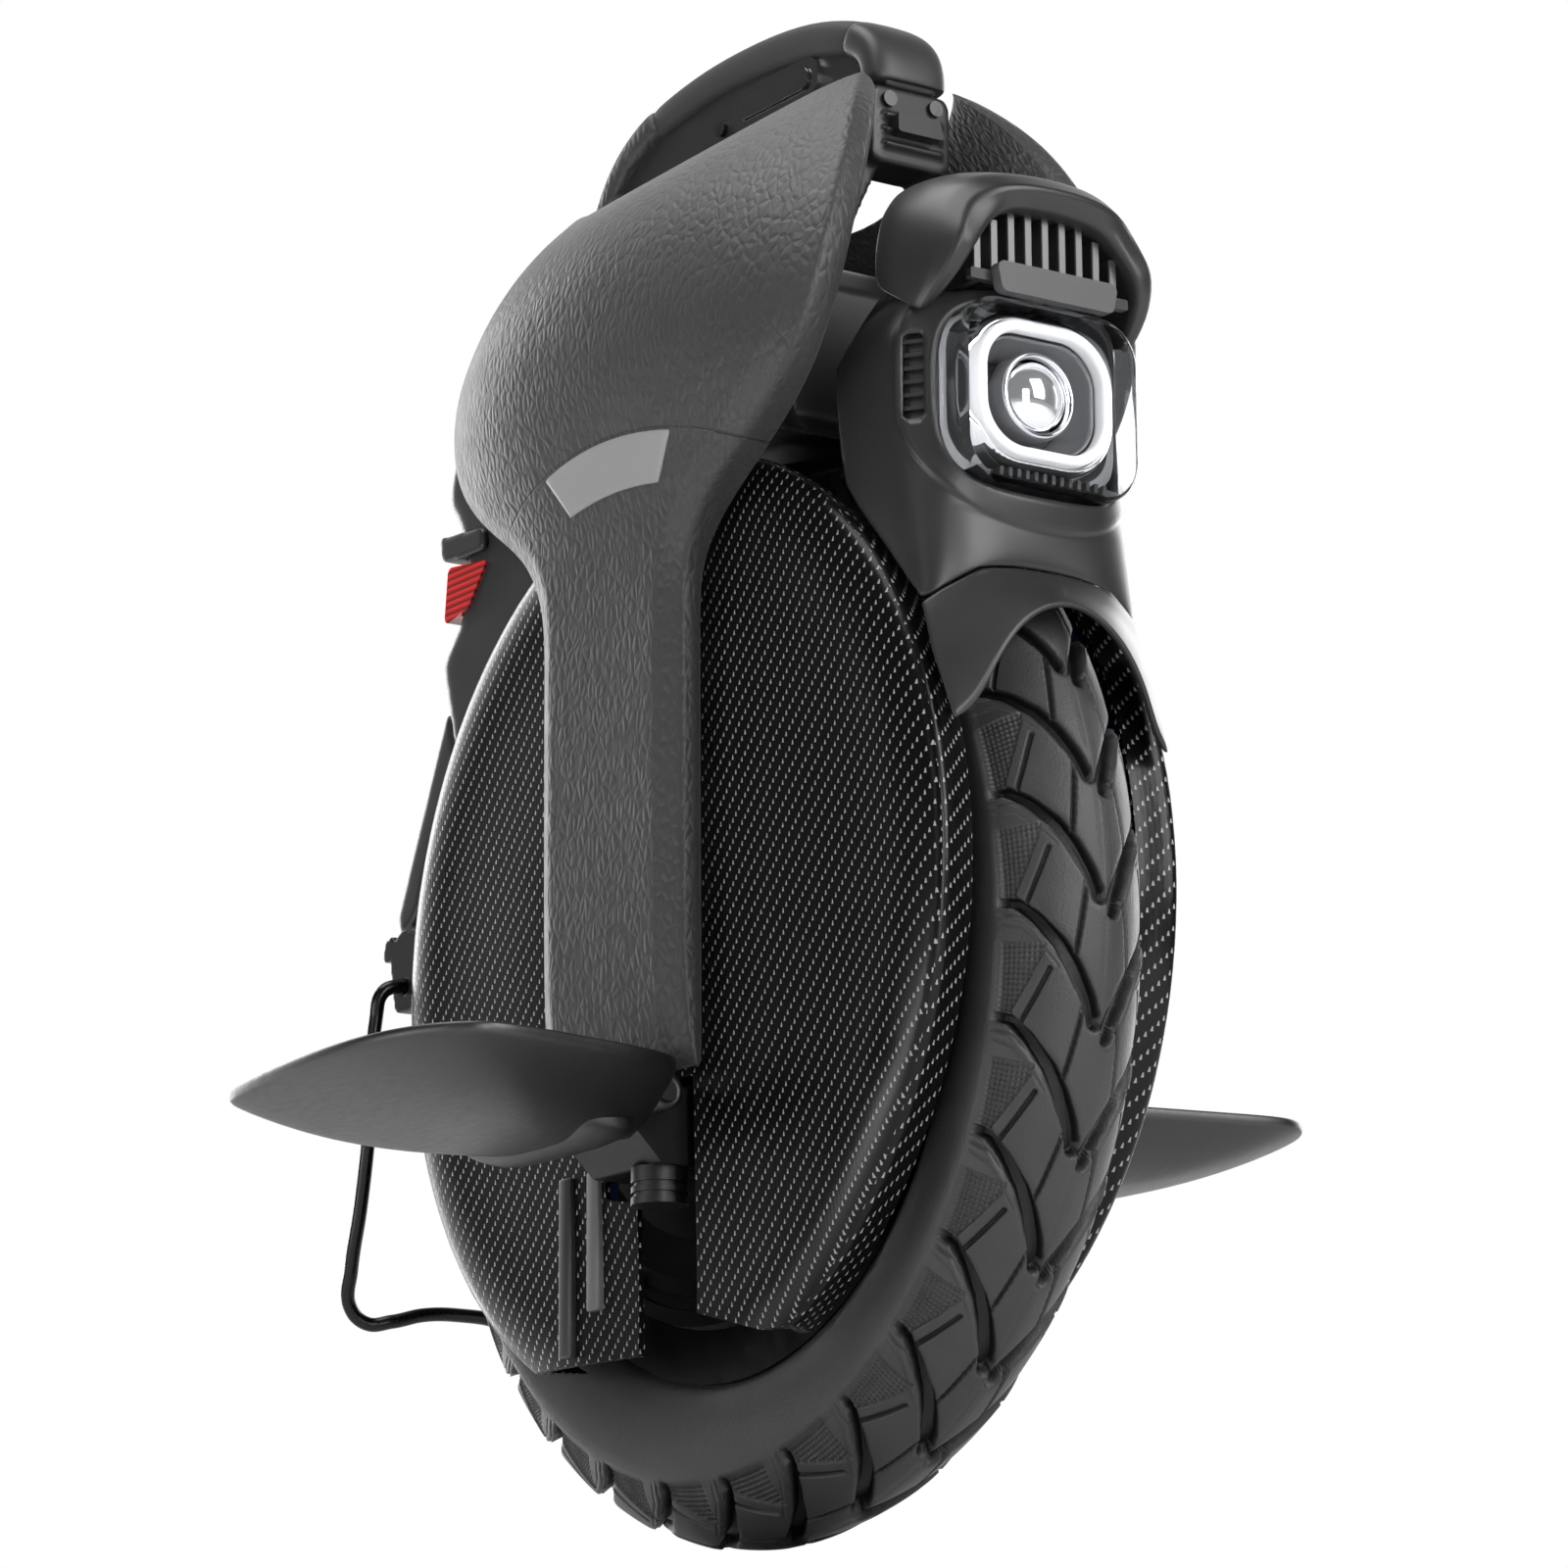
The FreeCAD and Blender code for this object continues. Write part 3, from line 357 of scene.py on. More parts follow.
def new_object(name, verts, faces, material, body):
    mesh = bpy.data.meshes.new(name)
    mesh.from_pydata([tuple(v) for v in verts], [], faces)
    mesh.validate()
    mesh.materials.append(MATERIALS[material])
    mesh.shade_smooth()
    obj = add(name, mesh)
    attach(obj, body)
    return obj


def stands_for(obj, node):
    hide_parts(node)


def subdivide(obj, levels):
    mod = obj.modifiers.new("subdivision", "SUBSURF")
    mod.levels = levels
    mod.render_levels = levels
    return obj


def bake(obj):
    """Applies the object's modifiers to its mesh."""
    graph = bpy.context.evaluated_depsgraph_get()
    mesh = bpy.data.meshes.new_from_object(obj.evaluated_get(graph))
    obj.modifiers.clear()
    obj.data = mesh
    mesh.shade_smooth()


def bake_flat(obj):
    bake(obj)
    obj.data.shade_flat()


def carve(obj, cutter):
    """Cuts one shape out of another and drops the cutter."""
    cut = obj.modifiers.new("cut", "BOOLEAN")
    cut.operation = "DIFFERENCE"
    cut.solver = "EXACT"
    cut.object = cutter
    bake(obj)
    bpy.data.objects.remove(cutter)


def face_outward(mesh):
    """Turns every face's normal outwards."""
    work = bmesh.new()
    work.from_mesh(mesh)
    bmesh.ops.recalc_face_normals(work, faces=work.faces)
    work.to_mesh(mesh)
    work.free()


def sharpen(mesh, line_of, creases):
    """Weights the edges along some lines of a grid; line_of gives a vertex's line."""
    weights = mesh.attributes.new("crease_edge", "FLOAT", "EDGE")
    wanted = dict(creases)
    for edge in mesh.edges:
        first, second = [line_of(v) for v in edge.vertices]
        if first == second and first in wanted:
            weights.data[edge.index].value = wanted[first]


def skin(name, sections, material, body, levels=2, creases=()):
    """Closed skin over closed sections with equal point counts, in mm; ends are capped in strips.

    creases gives (column, weight) for lines that stay sharp along the piece.
    """
    count = len(sections[0])
    verts = [Vector(p) * MM for section in sections for p in section]
    faces = []
    for level in range(len(sections) - 1):
        for index in range(count):
            a = level * count + index
            b = level * count + (index + 1) % count
            faces.append((a, b, b + count, a + count))
    last = (len(sections) - 1) * count
    for index in range(count // 2 - 1):
        faces.append((index + 1, index, count - 1 - index, count - 2 - index))
        faces.append((last + index, last + index + 1, last + count - 2 - index,
                      last + count - 1 - index))
    obj = new_object(name, verts, faces, material, body)
    face_outward(obj.data)
    sharpen(obj.data, lambda v: v % count, creases)
    return subdivide(obj, levels)


def softened(node, voxel, passes):
    """A node's shape with every edge rounded, as moulded plastic has."""
    source = frame["nodes"][node]
    slot = next(e["material_slot"] for e in frame["record"]["subparts"] if e["node"] == node)
    obj = add("soft_" + node, source.data.copy())
    remesh = obj.modifiers.new("remesh", "REMESH")
    remesh.mode = "VOXEL"
    remesh.voxel_size = voxel * MM
    ease = obj.modifiers.new("ease", "SMOOTH")
    ease.factor = 0.5
    ease.iterations = passes
    bake(obj)
    obj.data.materials.clear()
    obj.data.materials.append(MATERIALS[slot])
    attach(obj, CHASSIS)
    stands_for(obj, node)


def mirrored_rows(sections, side):
    """Sections of the right-hand piece, or their mirror image for the left."""
    if side == "right":
        return sections
    return [[(x, -y, z) for x, y, z in section] for section in sections]


# ---- tyre ---------------------------------------------------------------------
PITCH_COUNT = 29
PITCH = 2 * math.pi * TYRE_R / PITCH_COUNT
# One side's groove in one pitch: (distance across from the middle, distance round), mm.
GROOVE = [(47, -1), (36.5, 0.3), (28.4, 6.3), (18.4, 16.5), (12.2, 25.3), (5.8, 36.7), (3.0, 44.0)]
LIP = [(46, 4.5), (34, 6.0), (26, 13.0), (17, 23.5), (11.5, 33.0)]
RIDGE = [(42, 8.5), (33, 10.5), (26.5, 16.5), (19, 25.0)]
SIPES = [[(8.4, 40.0), (12.8, 69.5)], [(22.0, 26.0), (31.6, 47.0)]]
KNURL = [(44.6, 15.8), (24.0, 15.8), (24.5, 20.0), (36.4, 44.5), (44.6, 43.0)]
TREAD_HALF = 43.6           # half the tread's width, along the section
COLUMNS_A_PITCH, ROWS_ACROSS = 92, 172
KNURL_CELL = 2.1


def line_distance(across, around, points):
    """Distance in mm from each place to a line that repeats every pitch."""
    best = np.full(across.shape, 1e9)
    for shift in (-PITCH, 0.0, PITCH):
        for (s0, t0), (s1, t1) in zip(points, points[1:]):
            ds, dt = s1 - s0, t1 - t0
            k = ((across - s0) * ds + (around - t0 - shift) * dt) / (ds * ds + dt * dt)
            k = np.clip(k, 0.0, 1.0)
            gap = np.hypot(across - s0 - k * ds, around - t0 - shift - k * dt)
            best = np.minimum(best, gap)
    return best


def inside(across, around, polygon):
    result = np.zeros(across.shape, dtype=bool)
    for shift in (-PITCH, 0.0, PITCH):
        hit = np.ones(across.shape, dtype=bool)
        for (s0, t0), (s1, t1) in zip(polygon, polygon[1:] + polygon[:1]):
            turn = (s1 - s0) * (around - t0 - shift) - (t1 - t0) * (across - s0)
            hit &= turn < 0
        result |= hit
    return result


def ramp(value, low, high):
    return np.clip((value - low) / (high - low), 0.0, 1.0)


def tread_depth(across, around):
    """How far the tread lies below its crown, in mm, at places across and round the tyre."""
    side = np.abs(across)
    turned = np.where(across > 0, around - 5.0, around) % PITCH
    width = 1.6 + 1.5 * ramp(36.0 - side, 0.0, 36.0)
    main = line_distance(side, turned, GROOVE)
    start = np.interp(side, [p[0] for p in GROOVE[::-1]], [p[1] for p in GROOVE[::-1]])
    tilt = 1.5 * (((turned - start) % PITCH) / PITCH)
    groove = 6.6 * (1.0 - ramp(main, width, width + 0.8))
    rounded = 0.8 * (1.0 - ramp(main, width, width + 3.2)) ** 2
    cut = np.zeros(across.shape)
    for sipe in SIPES:
        cut = np.maximum(cut, 2.6 * (1.0 - ramp(line_distance(side, turned, sipe), 0.5, 1.1)))
    lip = 0.9 * (1.0 - ramp(line_distance(side, turned, LIP), 0.3, 0.9))
    fine = 0.45 * (1.0 - ramp(line_distance(side, turned, RIDGE), 0.2, 0.6))
    peaks = (np.abs((side / KNURL_CELL) % 1.0 - 0.5)
             + np.abs((turned / KNURL_CELL) % 1.0 - 0.5))
    knurl = np.where(inside(side, turned, KNURL), 0.35 + 1.5 * (1.0 - peaks), 0.0)
    return np.maximum.reduce([groove, tilt + np.maximum.reduce([cut, lip + rounded, fine, knurl])])


def tyre():
    """Carcass with a moulded tread, one continuous skin from bead to bead."""
    columns = COLUMNS_A_PITCH * PITCH_COUNT
    around = np.arange(columns) * (PITCH * PITCH_COUNT / columns)
    across = np.linspace(-TREAD_HALF, TREAD_HALF, ROWS_ACROSS)
    grid_s, grid_t = np.meshgrid(across, around, indexing="ij")
    depth = tread_depth(grid_s, grid_t)
    fade = ramp(TREAD_HALF - np.abs(grid_s), 0.0, 3.0)
    radius = SECTION_R - depth * fade
    lean = grid_s / SECTION_R
    rows_y = radius * np.sin(lean)
    crown_r = TYRE_R - SECTION_R
    rows_r = crown_r + radius * np.cos(lean)
    edge = TREAD_HALF / SECTION_R
    wall = [(SECTION_R * math.sin(edge + turn), crown_r + SECTION_R * math.cos(edge + turn))
            for turn in (0.4 * 0.12, 1.4 * 0.12)]
    wall += [(32.2, 176.5), (31.6, 172), (29.2, 163.5), (25.2, 156.6), (22.9, 153.6), (18.8, 152.4),
             (18.5, 149.2), (13.6, 149.2), (17.5, 156.0), (24.0, 166.0), (25.5, 178.0),
             (0.0, 206.0)]
    side_y = np.array([y for y, r in wall])[:, None] * np.ones(columns)
    side_r = np.array([r for y, r in wall])[:, None] * np.ones(columns)
    all_y = np.vstack([-side_y[::-1][1:], rows_y, side_y])
    all_r = np.vstack([side_r[::-1][1:], rows_r, side_r])
    angle = around / TYRE_R
    verts = np.stack([all_r * np.cos(angle), all_y, AXLE_Z - all_r * np.sin(angle)], axis=-1) * MM
    rows = all_y.shape[0]
    index = np.arange(rows * columns).reshape(rows, columns)
    after = np.roll(index, -1, axis=1)
    faces = np.stack([index, after, np.roll(after, -1, axis=0), np.roll(index, -1, axis=0)],
                     axis=-1).reshape(-1, 4)
    mesh = bpy.data.meshes.new("tyre_tread")
    mesh.vertices.add(rows * columns)
    mesh.vertices.foreach_set("co", verts.reshape(-1).astype(np.float32))
    mesh.loops.add(faces.size)
    mesh.loops.foreach_set("vertex_index", faces.reshape(-1).astype(np.int32))
    mesh.polygons.add(len(faces))
    mesh.polygons.foreach_set("loop_start", (np.arange(len(faces)) * 4).astype(np.int32))
    mesh.update(calc_edges=True)
    mesh.materials.append(MATERIALS["tyre_rubber"])
    mesh.shade_smooth()
    obj = add("tyre_tread", mesh)
    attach(obj, "wheel")
    stands_for(obj, "tyre")


# ---- leg pads -----------------------------------------------------------------
STEM_ROWS = [(174, 7.2), (188, 3.8), (206, 0.3), (290, 0), (345, 0), (372, 0)]  # z, set back
# Right wing, from its foot up. Each row: rear edge, rear shoulder, middle, front shoulder and
# front edge of the outer face, then the pad's thickness there.
WING_ROWS = [
    [(-62, -75.5, 396), (-30, -81.5, 397), (2, -82, 398), (34, -81.7, 397), (66, -76.5, 391), 13],
    [(-92, -72.5, 414), (-48, -86, 416), (4, -87.4, 418), (54, -86.6, 414), (97, -79.5, 405), 13],
    [(-120, -69.5, 434), (-64, -92, 436), (6, -94.5, 436), (72, -92.5, 434), (130, -80, 427), 13],
    [(-137, -66, 460), (-74, -94.5, 461), (6, -99.5, 462), (82, -96, 460), (145, -78, 458), 13],
    [(-138, -60, 490), (-76, -92, 489), (6, -99, 488), (82, -91.5, 489), (144, -69.5, 490), 13],
    [(-128, -51, 516), (-72, -82, 513), (6, -91.5, 511), (78, -83, 514), (138, -58, 517), 12],
    [(-112, -40, 540), (-68, -67, 532), (4, -79, 528), (70, -69.5, 534), (126, -46, 542), 12],
    [(-103, -28, 557), (-70, -49, 547), (2, -66, 537), (62, -53, 548), (110, -31.5, 558), 9],
    [(-99, -23, 564), (-72, -40, 552), (0, -58, 540), (58, -43, 554), (99, -24, 566), 4],
]
STRIP = 15.0        # width of the bevelled strip along the wing's edges
BADGE_REAR, BADGE_SWEEP = 11.2, 24.4        # degrees behind the seam's top, and in all
BADGE_STEPS = 16


def stem_section(z, back):
    """The stem is flat between two bevelled strips."""
    face = -80 + back
    outer = [(-50.5, -68, z), (-49.5, -75 + 0.7 * back, z), (-38, face, z), (-19, face, z),
             (0, face, z), (19, face, z), (38, face, z), (49.5, -75 + 0.7 * back, z),
             (50.5, -68, z)]
    inner = [(0.93 * x, -64.4, z) for x, y, z in outer]
    return outer + inner[::-1]


def wing_section(row):
    rear, rear_mid, middle, front_mid, front = [Vector(p) for p in row[:5]]
    thick = row[5]
    rear_strip = rear + (rear_mid - rear).normalized() * STRIP + Vector((0, -2.2, 0))
    front_strip = front + (front_mid - front).normalized() * STRIP + Vector((0, -2.2, 0))
    rear_lip = rear + Vector((0.5, thick * 0.8, 0))
    front_lip = front + Vector((-0.5, thick * 0.8, 0))
    outer = [rear_lip, rear, rear_strip, rear_mid, middle, front_mid, front_strip, front, front_lip]
    inner = [p + Vector((0, thick, 0)) for p in outer[1:-1]]
    inner = [rear_lip + Vector((2.5, thick * 0.2, 0))] + inner
    inner += [front_lip + Vector((-2.5, thick * 0.2, 0))]
    return [tuple(p) for p in outer + inner[::-1]]


def leg_pad(side):
    """Moulded knee pad: a wing with bevelled strips along its edges, and its flat stem."""
    sections = [stem_section(z, back) for z, back in STEM_ROWS]
    sections += [wing_section(row) for row in WING_ROWS]
    obj = skin("pad_skin_" + side, mirrored_rows(sections, side), "grained_pad", CHASSIS, 3,
               ((1, 0.4), (2, 0.75), (6, 0.75), (7, 0.4)))
    bake(obj)
    stands_for(obj, "pad_" + side)
    badge(obj, side)


def badge(pad, side):
    """Blank plate that follows the pad's face under its seam."""
    surface = BVHTree.FromObject(pad, bpy.context.evaluated_depsgraph_get())
    sign = 1 if side == "right" else -1
    rows = []
    for inset, spread in ((1, 1.0), (5, 0.95), (17, 0.81), (21, 0.76)):
        radius = SEAM_R - inset
        row = []
        for step in range(BADGE_STEPS + 1):
            turn = BADGE_REAR - BADGE_SWEEP * step / BADGE_STEPS
            angle = math.radians(90 + spread * turn)
            x = SEAM_X + radius * math.cos(angle)
            z = SEAM_Z + radius * math.sin(angle)
            hit = surface.ray_cast(Vector((x, -200 * sign, z)) * MM, Vector((0, sign, 0)))[0]
            row.append((x, hit.y / MM - 0.7 * sign, z))
        rows.append(row)
    sheet("badge_plate_" + side, rows, 1.4, "badge_grey", "badges", levels=1)


# ---- handle -------------------------------------------------------------------
# (x, z) along the handle's top line, from its root at the rear to its front end.
HANDLE_TOP = [(-123, 514), (-119, 535), (-111, 560), (-97, 583), (-80, 595), (-62, 602),
              (-30, 607.4), (0, 608.4), (30, 607.4), (58, 603.4), (83, 594.8), (92, 590),
              (99, 583), (103, 574),
              (104, 564)]
HANDLE_THICK = 17.0


def handle_sweep(name, first, last, half, material):
    """Rounded band under the handle's top line, between two of its stations."""
    stations = HANDLE_TOP[first:last + 1]
    sections = []
    for index, (x, z) in enumerate(stations):
        before = stations[max(index - 1, 0)]
        after = stations[min(index + 1, len(stations) - 1)]
        along = Vector((after[0] - before[0], after[1] - before[1])).normalized()
        down = Vector((along.y, -along.x))
        shape = []
        for step in range(16):
            angle = 2 * math.pi * (step + 0.5) / 16
            c, s = math.cos(angle), math.sin(angle)
            wide = half * math.copysign(abs(c) ** 0.55, c)
            deep = HANDLE_THICK / 2 * (1 - math.copysign(abs(s) ** 0.6, s))
            shape.append((x + down.x * deep, wide, z + down.y * deep))
        sections.append(shape)
    first_in = [tuple(Vector(p).lerp(Vector(q), -0.02)) for p, q in zip(sections[0], sections[1])]
    sections = [shrunk(sections[0], 0.86)] + [first_in] + sections[1:-1] + [sections[-1]]
    sections.append(shrunk(sections[-1], 0.86))
    order = [s[4:] + s[:4] for s in sections]
    return skin(name, order, material, CHASSIS, 2)


def shrunk(section, factor):
    middle = sum((Vector(p) for p in section), Vector()) / len(section)
    return [tuple(middle.lerp(Vector(p), factor)) for p in section]


def handle():
    for name, first, last, half, material, node, slot in (
            ("grip_sleeve", 5, 10, 17.0, "grip_rubber", "handle_grip", "grip_rubber"),
            ("front_cap", 10, 14, 18.0, "handle_plastic", "handle_front_cap", "handle_plastic"),
            ("root_cover", 0, 5, 18.0, "grained_trim", "handle_root_cover", "handle_plastic")):
        stands_for(handle_sweep(name, first, last, half, material), node)


# ---- pedals -------------------------------------------------------------------
PEDAL_PLAN = [(-58, -84), (-68, -98), (-76, -122), (-83, -158), (-89, -183), (-88, -194),
              (-74, -199.5), (-40, -205.5), (0, -210.5), (36, -212.5), (64, -209), (84, -200),
              (94, -188), (93, -172), (87.5, -146), (82, -116), (74, -95), (62, -84),
              (30, -82.5), (-28, -82.5)]
# How far in towards the hinge, and height, from the tread's tray down to the belly's keel.
PEDAL_LEVELS = [(0.93, 170.6), (0.945, 170.6), (0.955, 172.0), (0.99, 172.0), (1.0, 171.2),
                (1.0, 168.2), (0.99, 167.0), (0.955, 164.8), (0.89, 161.2), (0.79, 156.6),
                (0.66, 151.8), (0.48, 147.4), (0.28, 145.2), (0.12, 144.8)]
HINGE_Y, HINGE_Z = -80.0, 164.0
LUG_R, BORE_R = 7.4, 4.06


def pedal(side):
    """Thin flat rim over a domed belly, open where the arm's eye turns, with two hinge lugs."""
    body = "pedal_arm_" + side
    sign = 1 if side == "right" else -1
    sections = []
    for shrink, z in PEDAL_LEVELS:
        sections.append([(2 + (x - 2) * shrink, -100 + (y + 100) * (shrink if y < -100 else 1), z)
                         for x, y in PEDAL_PLAN])
    plate = skin("pedal_plate_" + side, mirrored_rows(sections, side), "pedal_metal", body, 2)
    bake(plate)
    gap = block("gap", (-21, 29), (-92, -70), (140, 180), sign)
    carve(plate, gap)
    stands_for(plate, "pedal_" + side)
    for name, x0, x1 in (("rear", -41.6, -20.8), ("front", 28.8, 46.8)):
        lug = lathe("pedal_lug_%s_%s" % (name, side), (x0, x1), LUG_R, BORE_R, sign,
                    "pedal_metal", body)
        stands_for(lug, "pedal_" + side)
    keel = []
    for x, wide in ((-44, 0.35), (-36, 0.9), (-12, 1.0), (16, 1.0), (40, 0.9), (50, 0.35)):
        keel.append([(x, -93, 156), (x, -93, 151 - 6 * wide), (x, -97, 149 - 6.4 * wide),
                     (x, -106, 148.6 - 5 * wide), (x, -116 - 4 * wide, 149 - 1.5 * wide),
                     (x, -118 - 4 * wide, 156)])
    under = skin("pedal_keel_" + side, mirrored_rows(keel, side), "pedal_metal", body, 2)
    bake(under)
    stands_for(under, "pedal_" + side)


def block(name, x, y, z, sign):
    """Plain box, used only to cut with."""
    corners = [(a, b * sign, c) for a in x for b in y for c in z]
    faces = [(0, 1, 3, 2), (4, 6, 7, 5), (0, 4, 5, 1), (2, 3, 7, 6), (0, 2, 6, 4), (1, 5, 7, 3)]
    mesh = bpy.data.meshes.new(name)
    mesh.from_pydata([Vector(c) * MM for c in corners], [], faces)
    face_outward(mesh)
    return add(name, mesh)


def lathe(name, span, radius, bore, sign, material, body):
    """Bored barrel with eased ends, along the hinge line."""
    x0, x1 = span
    profile = [(x0, bore), (x0, radius - 0.8), (x0 + 0.8, radius), (x1 - 0.8, radius),
               (x1, radius - 0.8), (x1, bore)]
    steps = 40
    verts = []
    for x, r in profile:
        for step in range(steps):
            angle = 2 * math.pi * step / steps
            verts.append(Vector((x, (HINGE_Y + r * math.cos(angle)) * sign,
                                 HINGE_Z + r * math.sin(angle))) * MM)
    faces = []
    rows = len(profile)
    for row in range(rows):
        for step in range(steps):
            a = row * steps + step
            b = row * steps + (step + 1) % steps
            below = ((row + 1) % rows - row) * steps
            faces.append((a, b, b + below, a + below))
    obj = new_object(name, verts, faces, material, body)
    face_outward(obj.data)
    return obj


def drain_ribs(side):
    """Plain bars that stand on the cover's rear lobe."""
    sign = 1 if side == "right" else -1
    for name, x, foot, material in (("front", (-38.2, -29.8), 91.8, "rib_grey"),
                                    ("rear", (-58.2, -49.8), 75.8, "body_plastic")):
        bar = block("rib_%s_%s" % (name, side), x, (-61.9, -57.5), (foot, 146.2), sign)
        bar.data.materials.append(MATERIALS[material])
        edge = bar.modifiers.new("edge", "BEVEL")
        edge.width = 0.8 * MM
        edge.segments = 3
        bake(bar)
        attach(bar, CHASSIS)


# ---- stand --------------------------------------------------------------------
STAND_HALF = [(-204, -38.4, 250), (-204, -48, 250), (-206, -55, 247), (-209, -56.5, 236),
              (-213, -56, 200), (-224, -54, 160), (-234, -52.5, 134), (-240, -49.5, 120),
              (-239, -42, 113), (-235, -32, 114), (-232, -18, 117.5), (-231, 0, 118.5)]


def stand():
    """Bent round bar that hangs from two eyes."""
    path = [Vector(p) * MM for p in STAND_HALF]
    path += [Vector((p.x, -p.y, p.z)) for p in reversed(path[:-1])]
    curve = bpy.data.curves.new("stand_bar", "CURVE")
    curve.dimensions = "3D"
    curve.bevel_depth = 3.0 * MM
    curve.bevel_resolution = 6
    curve.resolution_u = 10
    curve.use_fill_caps = True
    spline = curve.splines.new("BEZIER")
    spline.bezier_points.add(len(path) - 1)
    for point, place in zip(spline.bezier_points, path):
        point.co = place
        point.handle_left_type = point.handle_right_type = "AUTO"
    rough = add("stand_curve", curve)
    graph = bpy.context.evaluated_depsgraph_get()
    mesh = bpy.data.meshes.new_from_object(rough.evaluated_get(graph))
    bpy.data.objects.remove(rough)
    mesh.materials.clear()
    mesh.materials.append(MATERIALS["stand_steel"])
    mesh.shade_smooth()
    obj = add("stand_bar", mesh)
    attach(obj, "stand")
    stands_for(obj, "stand_wire")


# ---- nose, hood and front mudguard --------------------------------------------
def full_row(half):
    """A row given from the middle to the right side, with its mirror image on the left."""
    return [(x, -y, z) for x, y, z in reversed(half[1:])] + list(half)


def sheet(name, rows, thick, material, node, creases=(), levels=2):
    """Moulded wall over a grid of points, solid to one thickness, with its rim rounded.

    The wall grows towards the middle of the machine; creases gives (row, weight).
    """
    columns = len(rows[0])
    verts = [Vector(p) * MM for row in rows for p in row]
    faces = []
    for level in range(len(rows) - 1):
        for index in range(columns - 1):
            a = level * columns + index
            faces.append((a, a + 1, a + 1 + columns, a + columns))
    obj = new_object(name, verts, faces, material, CHASSIS)
    middle = obj.data.polygons[len(faces) // 2]
    if middle.normal.dot(middle.center - Vector((0, 0, middle.center.z))) < 0:
        obj.data.flip_normals()
    sharpen(obj.data, lambda v: v // columns, creases)
    wall = obj.modifiers.new("wall", "SOLIDIFY")
    wall.thickness = thick * MM
    wall.offset = -1.0
    wall.edge_crease_rim = 0.55
    subdivide(obj, levels)
    bake(obj)
    stands_for(obj, node)
    return obj


# Half rows from the middle of the chin, up the right side, to the middle under the hood.
NOSE_FOOT = [(181, 0, 347), (181.3, -14, 346.6), (181.5, -30, 344.5), (177, -45, 335),
             (172.5, -51, 329.5), (150, -51, 355), (121, -50.5, 385), (112, -49, 436),
             (142, -42, 466), (142, 0, 470)]
NOSE_SIDE = [(181.8, 0, 355), (181.8, -13, 355.5), (181.3, -29, 355), (176, -45, 354),
             (166, -51.6, 358), (153, -51.8, 378), (142, -51.3, 404), (140, -50, 440),
             (150, -42, 460), (152, 0, 464)]
NOSE_STEP = [(181.8, 0, 361.6), (181.4, -12, 361.8), (180, -28, 364.5), (174.6, -43.6, 374),
             (160, -50.6, 392), (156.5, -50.4, 413), (156.5, -50.2, 440), (160, -46, 454),
             (170, -26, 456), (172, 0, 456)]
NOSE_CREASE = [(183, 0, 363.4), (182.6, -12, 363.8), (181.2, -28, 366.6), (175.8, -44.2, 377),
               (161.4, -52, 395), (158.2, -52.2, 413), (159, -52, 438.5), (167.5, -47, 449.5),
               (180, -26, 454), (184, 0, 454.5)]
NOSE_RIM = [(185.2, 0, 374.2), (184.6, -13, 374.4), (182.6, -27, 376), (178, -37.4, 381.5),
            (173.6, -41.8, 394), (172.4, -41.8, 413), (173, -41.8, 432), (177.4, -37.4, 444.8),
            (184, -22, 449.8), (186, 0, 450)]
NOSE_POCKET = [(x - 12, 0.985 * y, z + (1.2 if z < 400 else -0.3)) for x, y, z in NOSE_RIM]


VENT_FOOT = Vector((158.6, -51.9, 0))
VENT_HEAD = Vector((172.6, -41.8, 0))


def vent_prism(name, u0, u1, z0, z1, near, far, corner, material, side, ride=True):
    """Rounded block laid in the vent's facet: u runs across the facet, near and far are depths."""
    along = (VENT_HEAD - VENT_FOOT).normalized()
    outward = Vector((-along.y, along.x, 0))
    if outward.y > 0:
        outward = -outward
    ring = []
    for cx, cz, start in ((u1 - corner, z1 - corner, 0), (u0 + corner, z1 - corner, 90),
                          (u0 + corner, z0 + corner, 180), (u1 - corner, z0 + corner, 270)):
        for step in range(5):
            angle = math.radians(start + 22.5 * step)
            ring.append((cx + corner * math.cos(angle), cz + corner * math.sin(angle)))
    verts = []
    for depth in (near, far):
        for u, z in ring:
            place = VENT_FOOT + along * u - outward * depth
            verts.append(Vector((place.x, place.y * side, z)) * MM)
    count = len(ring)
    faces = [tuple(range(count)), tuple(range(count, 2 * count))]
    faces += [(k, (k + 1) % count, (k + 1) % count + count, k + count) for k in range(count)]
    mesh = bpy.data.meshes.new(name)
    mesh.from_pydata([tuple(v) for v in verts], [], faces)
    face_outward(mesh)
    mesh.materials.append(MATERIALS[material])
    obj = add(name, mesh)
    if ride:
        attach(obj, CHASSIS)
    return obj


def nose():
    rows = [NOSE_FOOT, NOSE_SIDE, NOSE_STEP, NOSE_CREASE, NOSE_RIM, NOSE_POCKET]
    shell = sheet("nose_skin", [full_row(row) for row in rows], 2.2, "body_plastic", "nose_shell",
                  ((2, 0.5), (3, 0.75), (4, 0.8)))
    for side, name in ((1, "right"), (-1, "left")):
        carve(shell, vent_prism("vent_cut", 3.2, 11.6, 402.5, 436, -4, 9, 2.6, "body_plastic", side,
                                False))
        floor_plate = vent_prism("vent_back_" + name, 2.6, 12.2, 401.5, 437, 4.2, 5.4, 2.6,
                                 "button_plastic", side)
        stands_for(floor_plate, "side_vents")
        for index in range(6):
            z = 406.4 + 5.2 * index
            slat = vent_prism("vent_slat_%s_%d" % (name, index), 2.8, 12.0, z, z + 1.5, 0.9, 4.4,
                              0.5, "body_plastic", side)


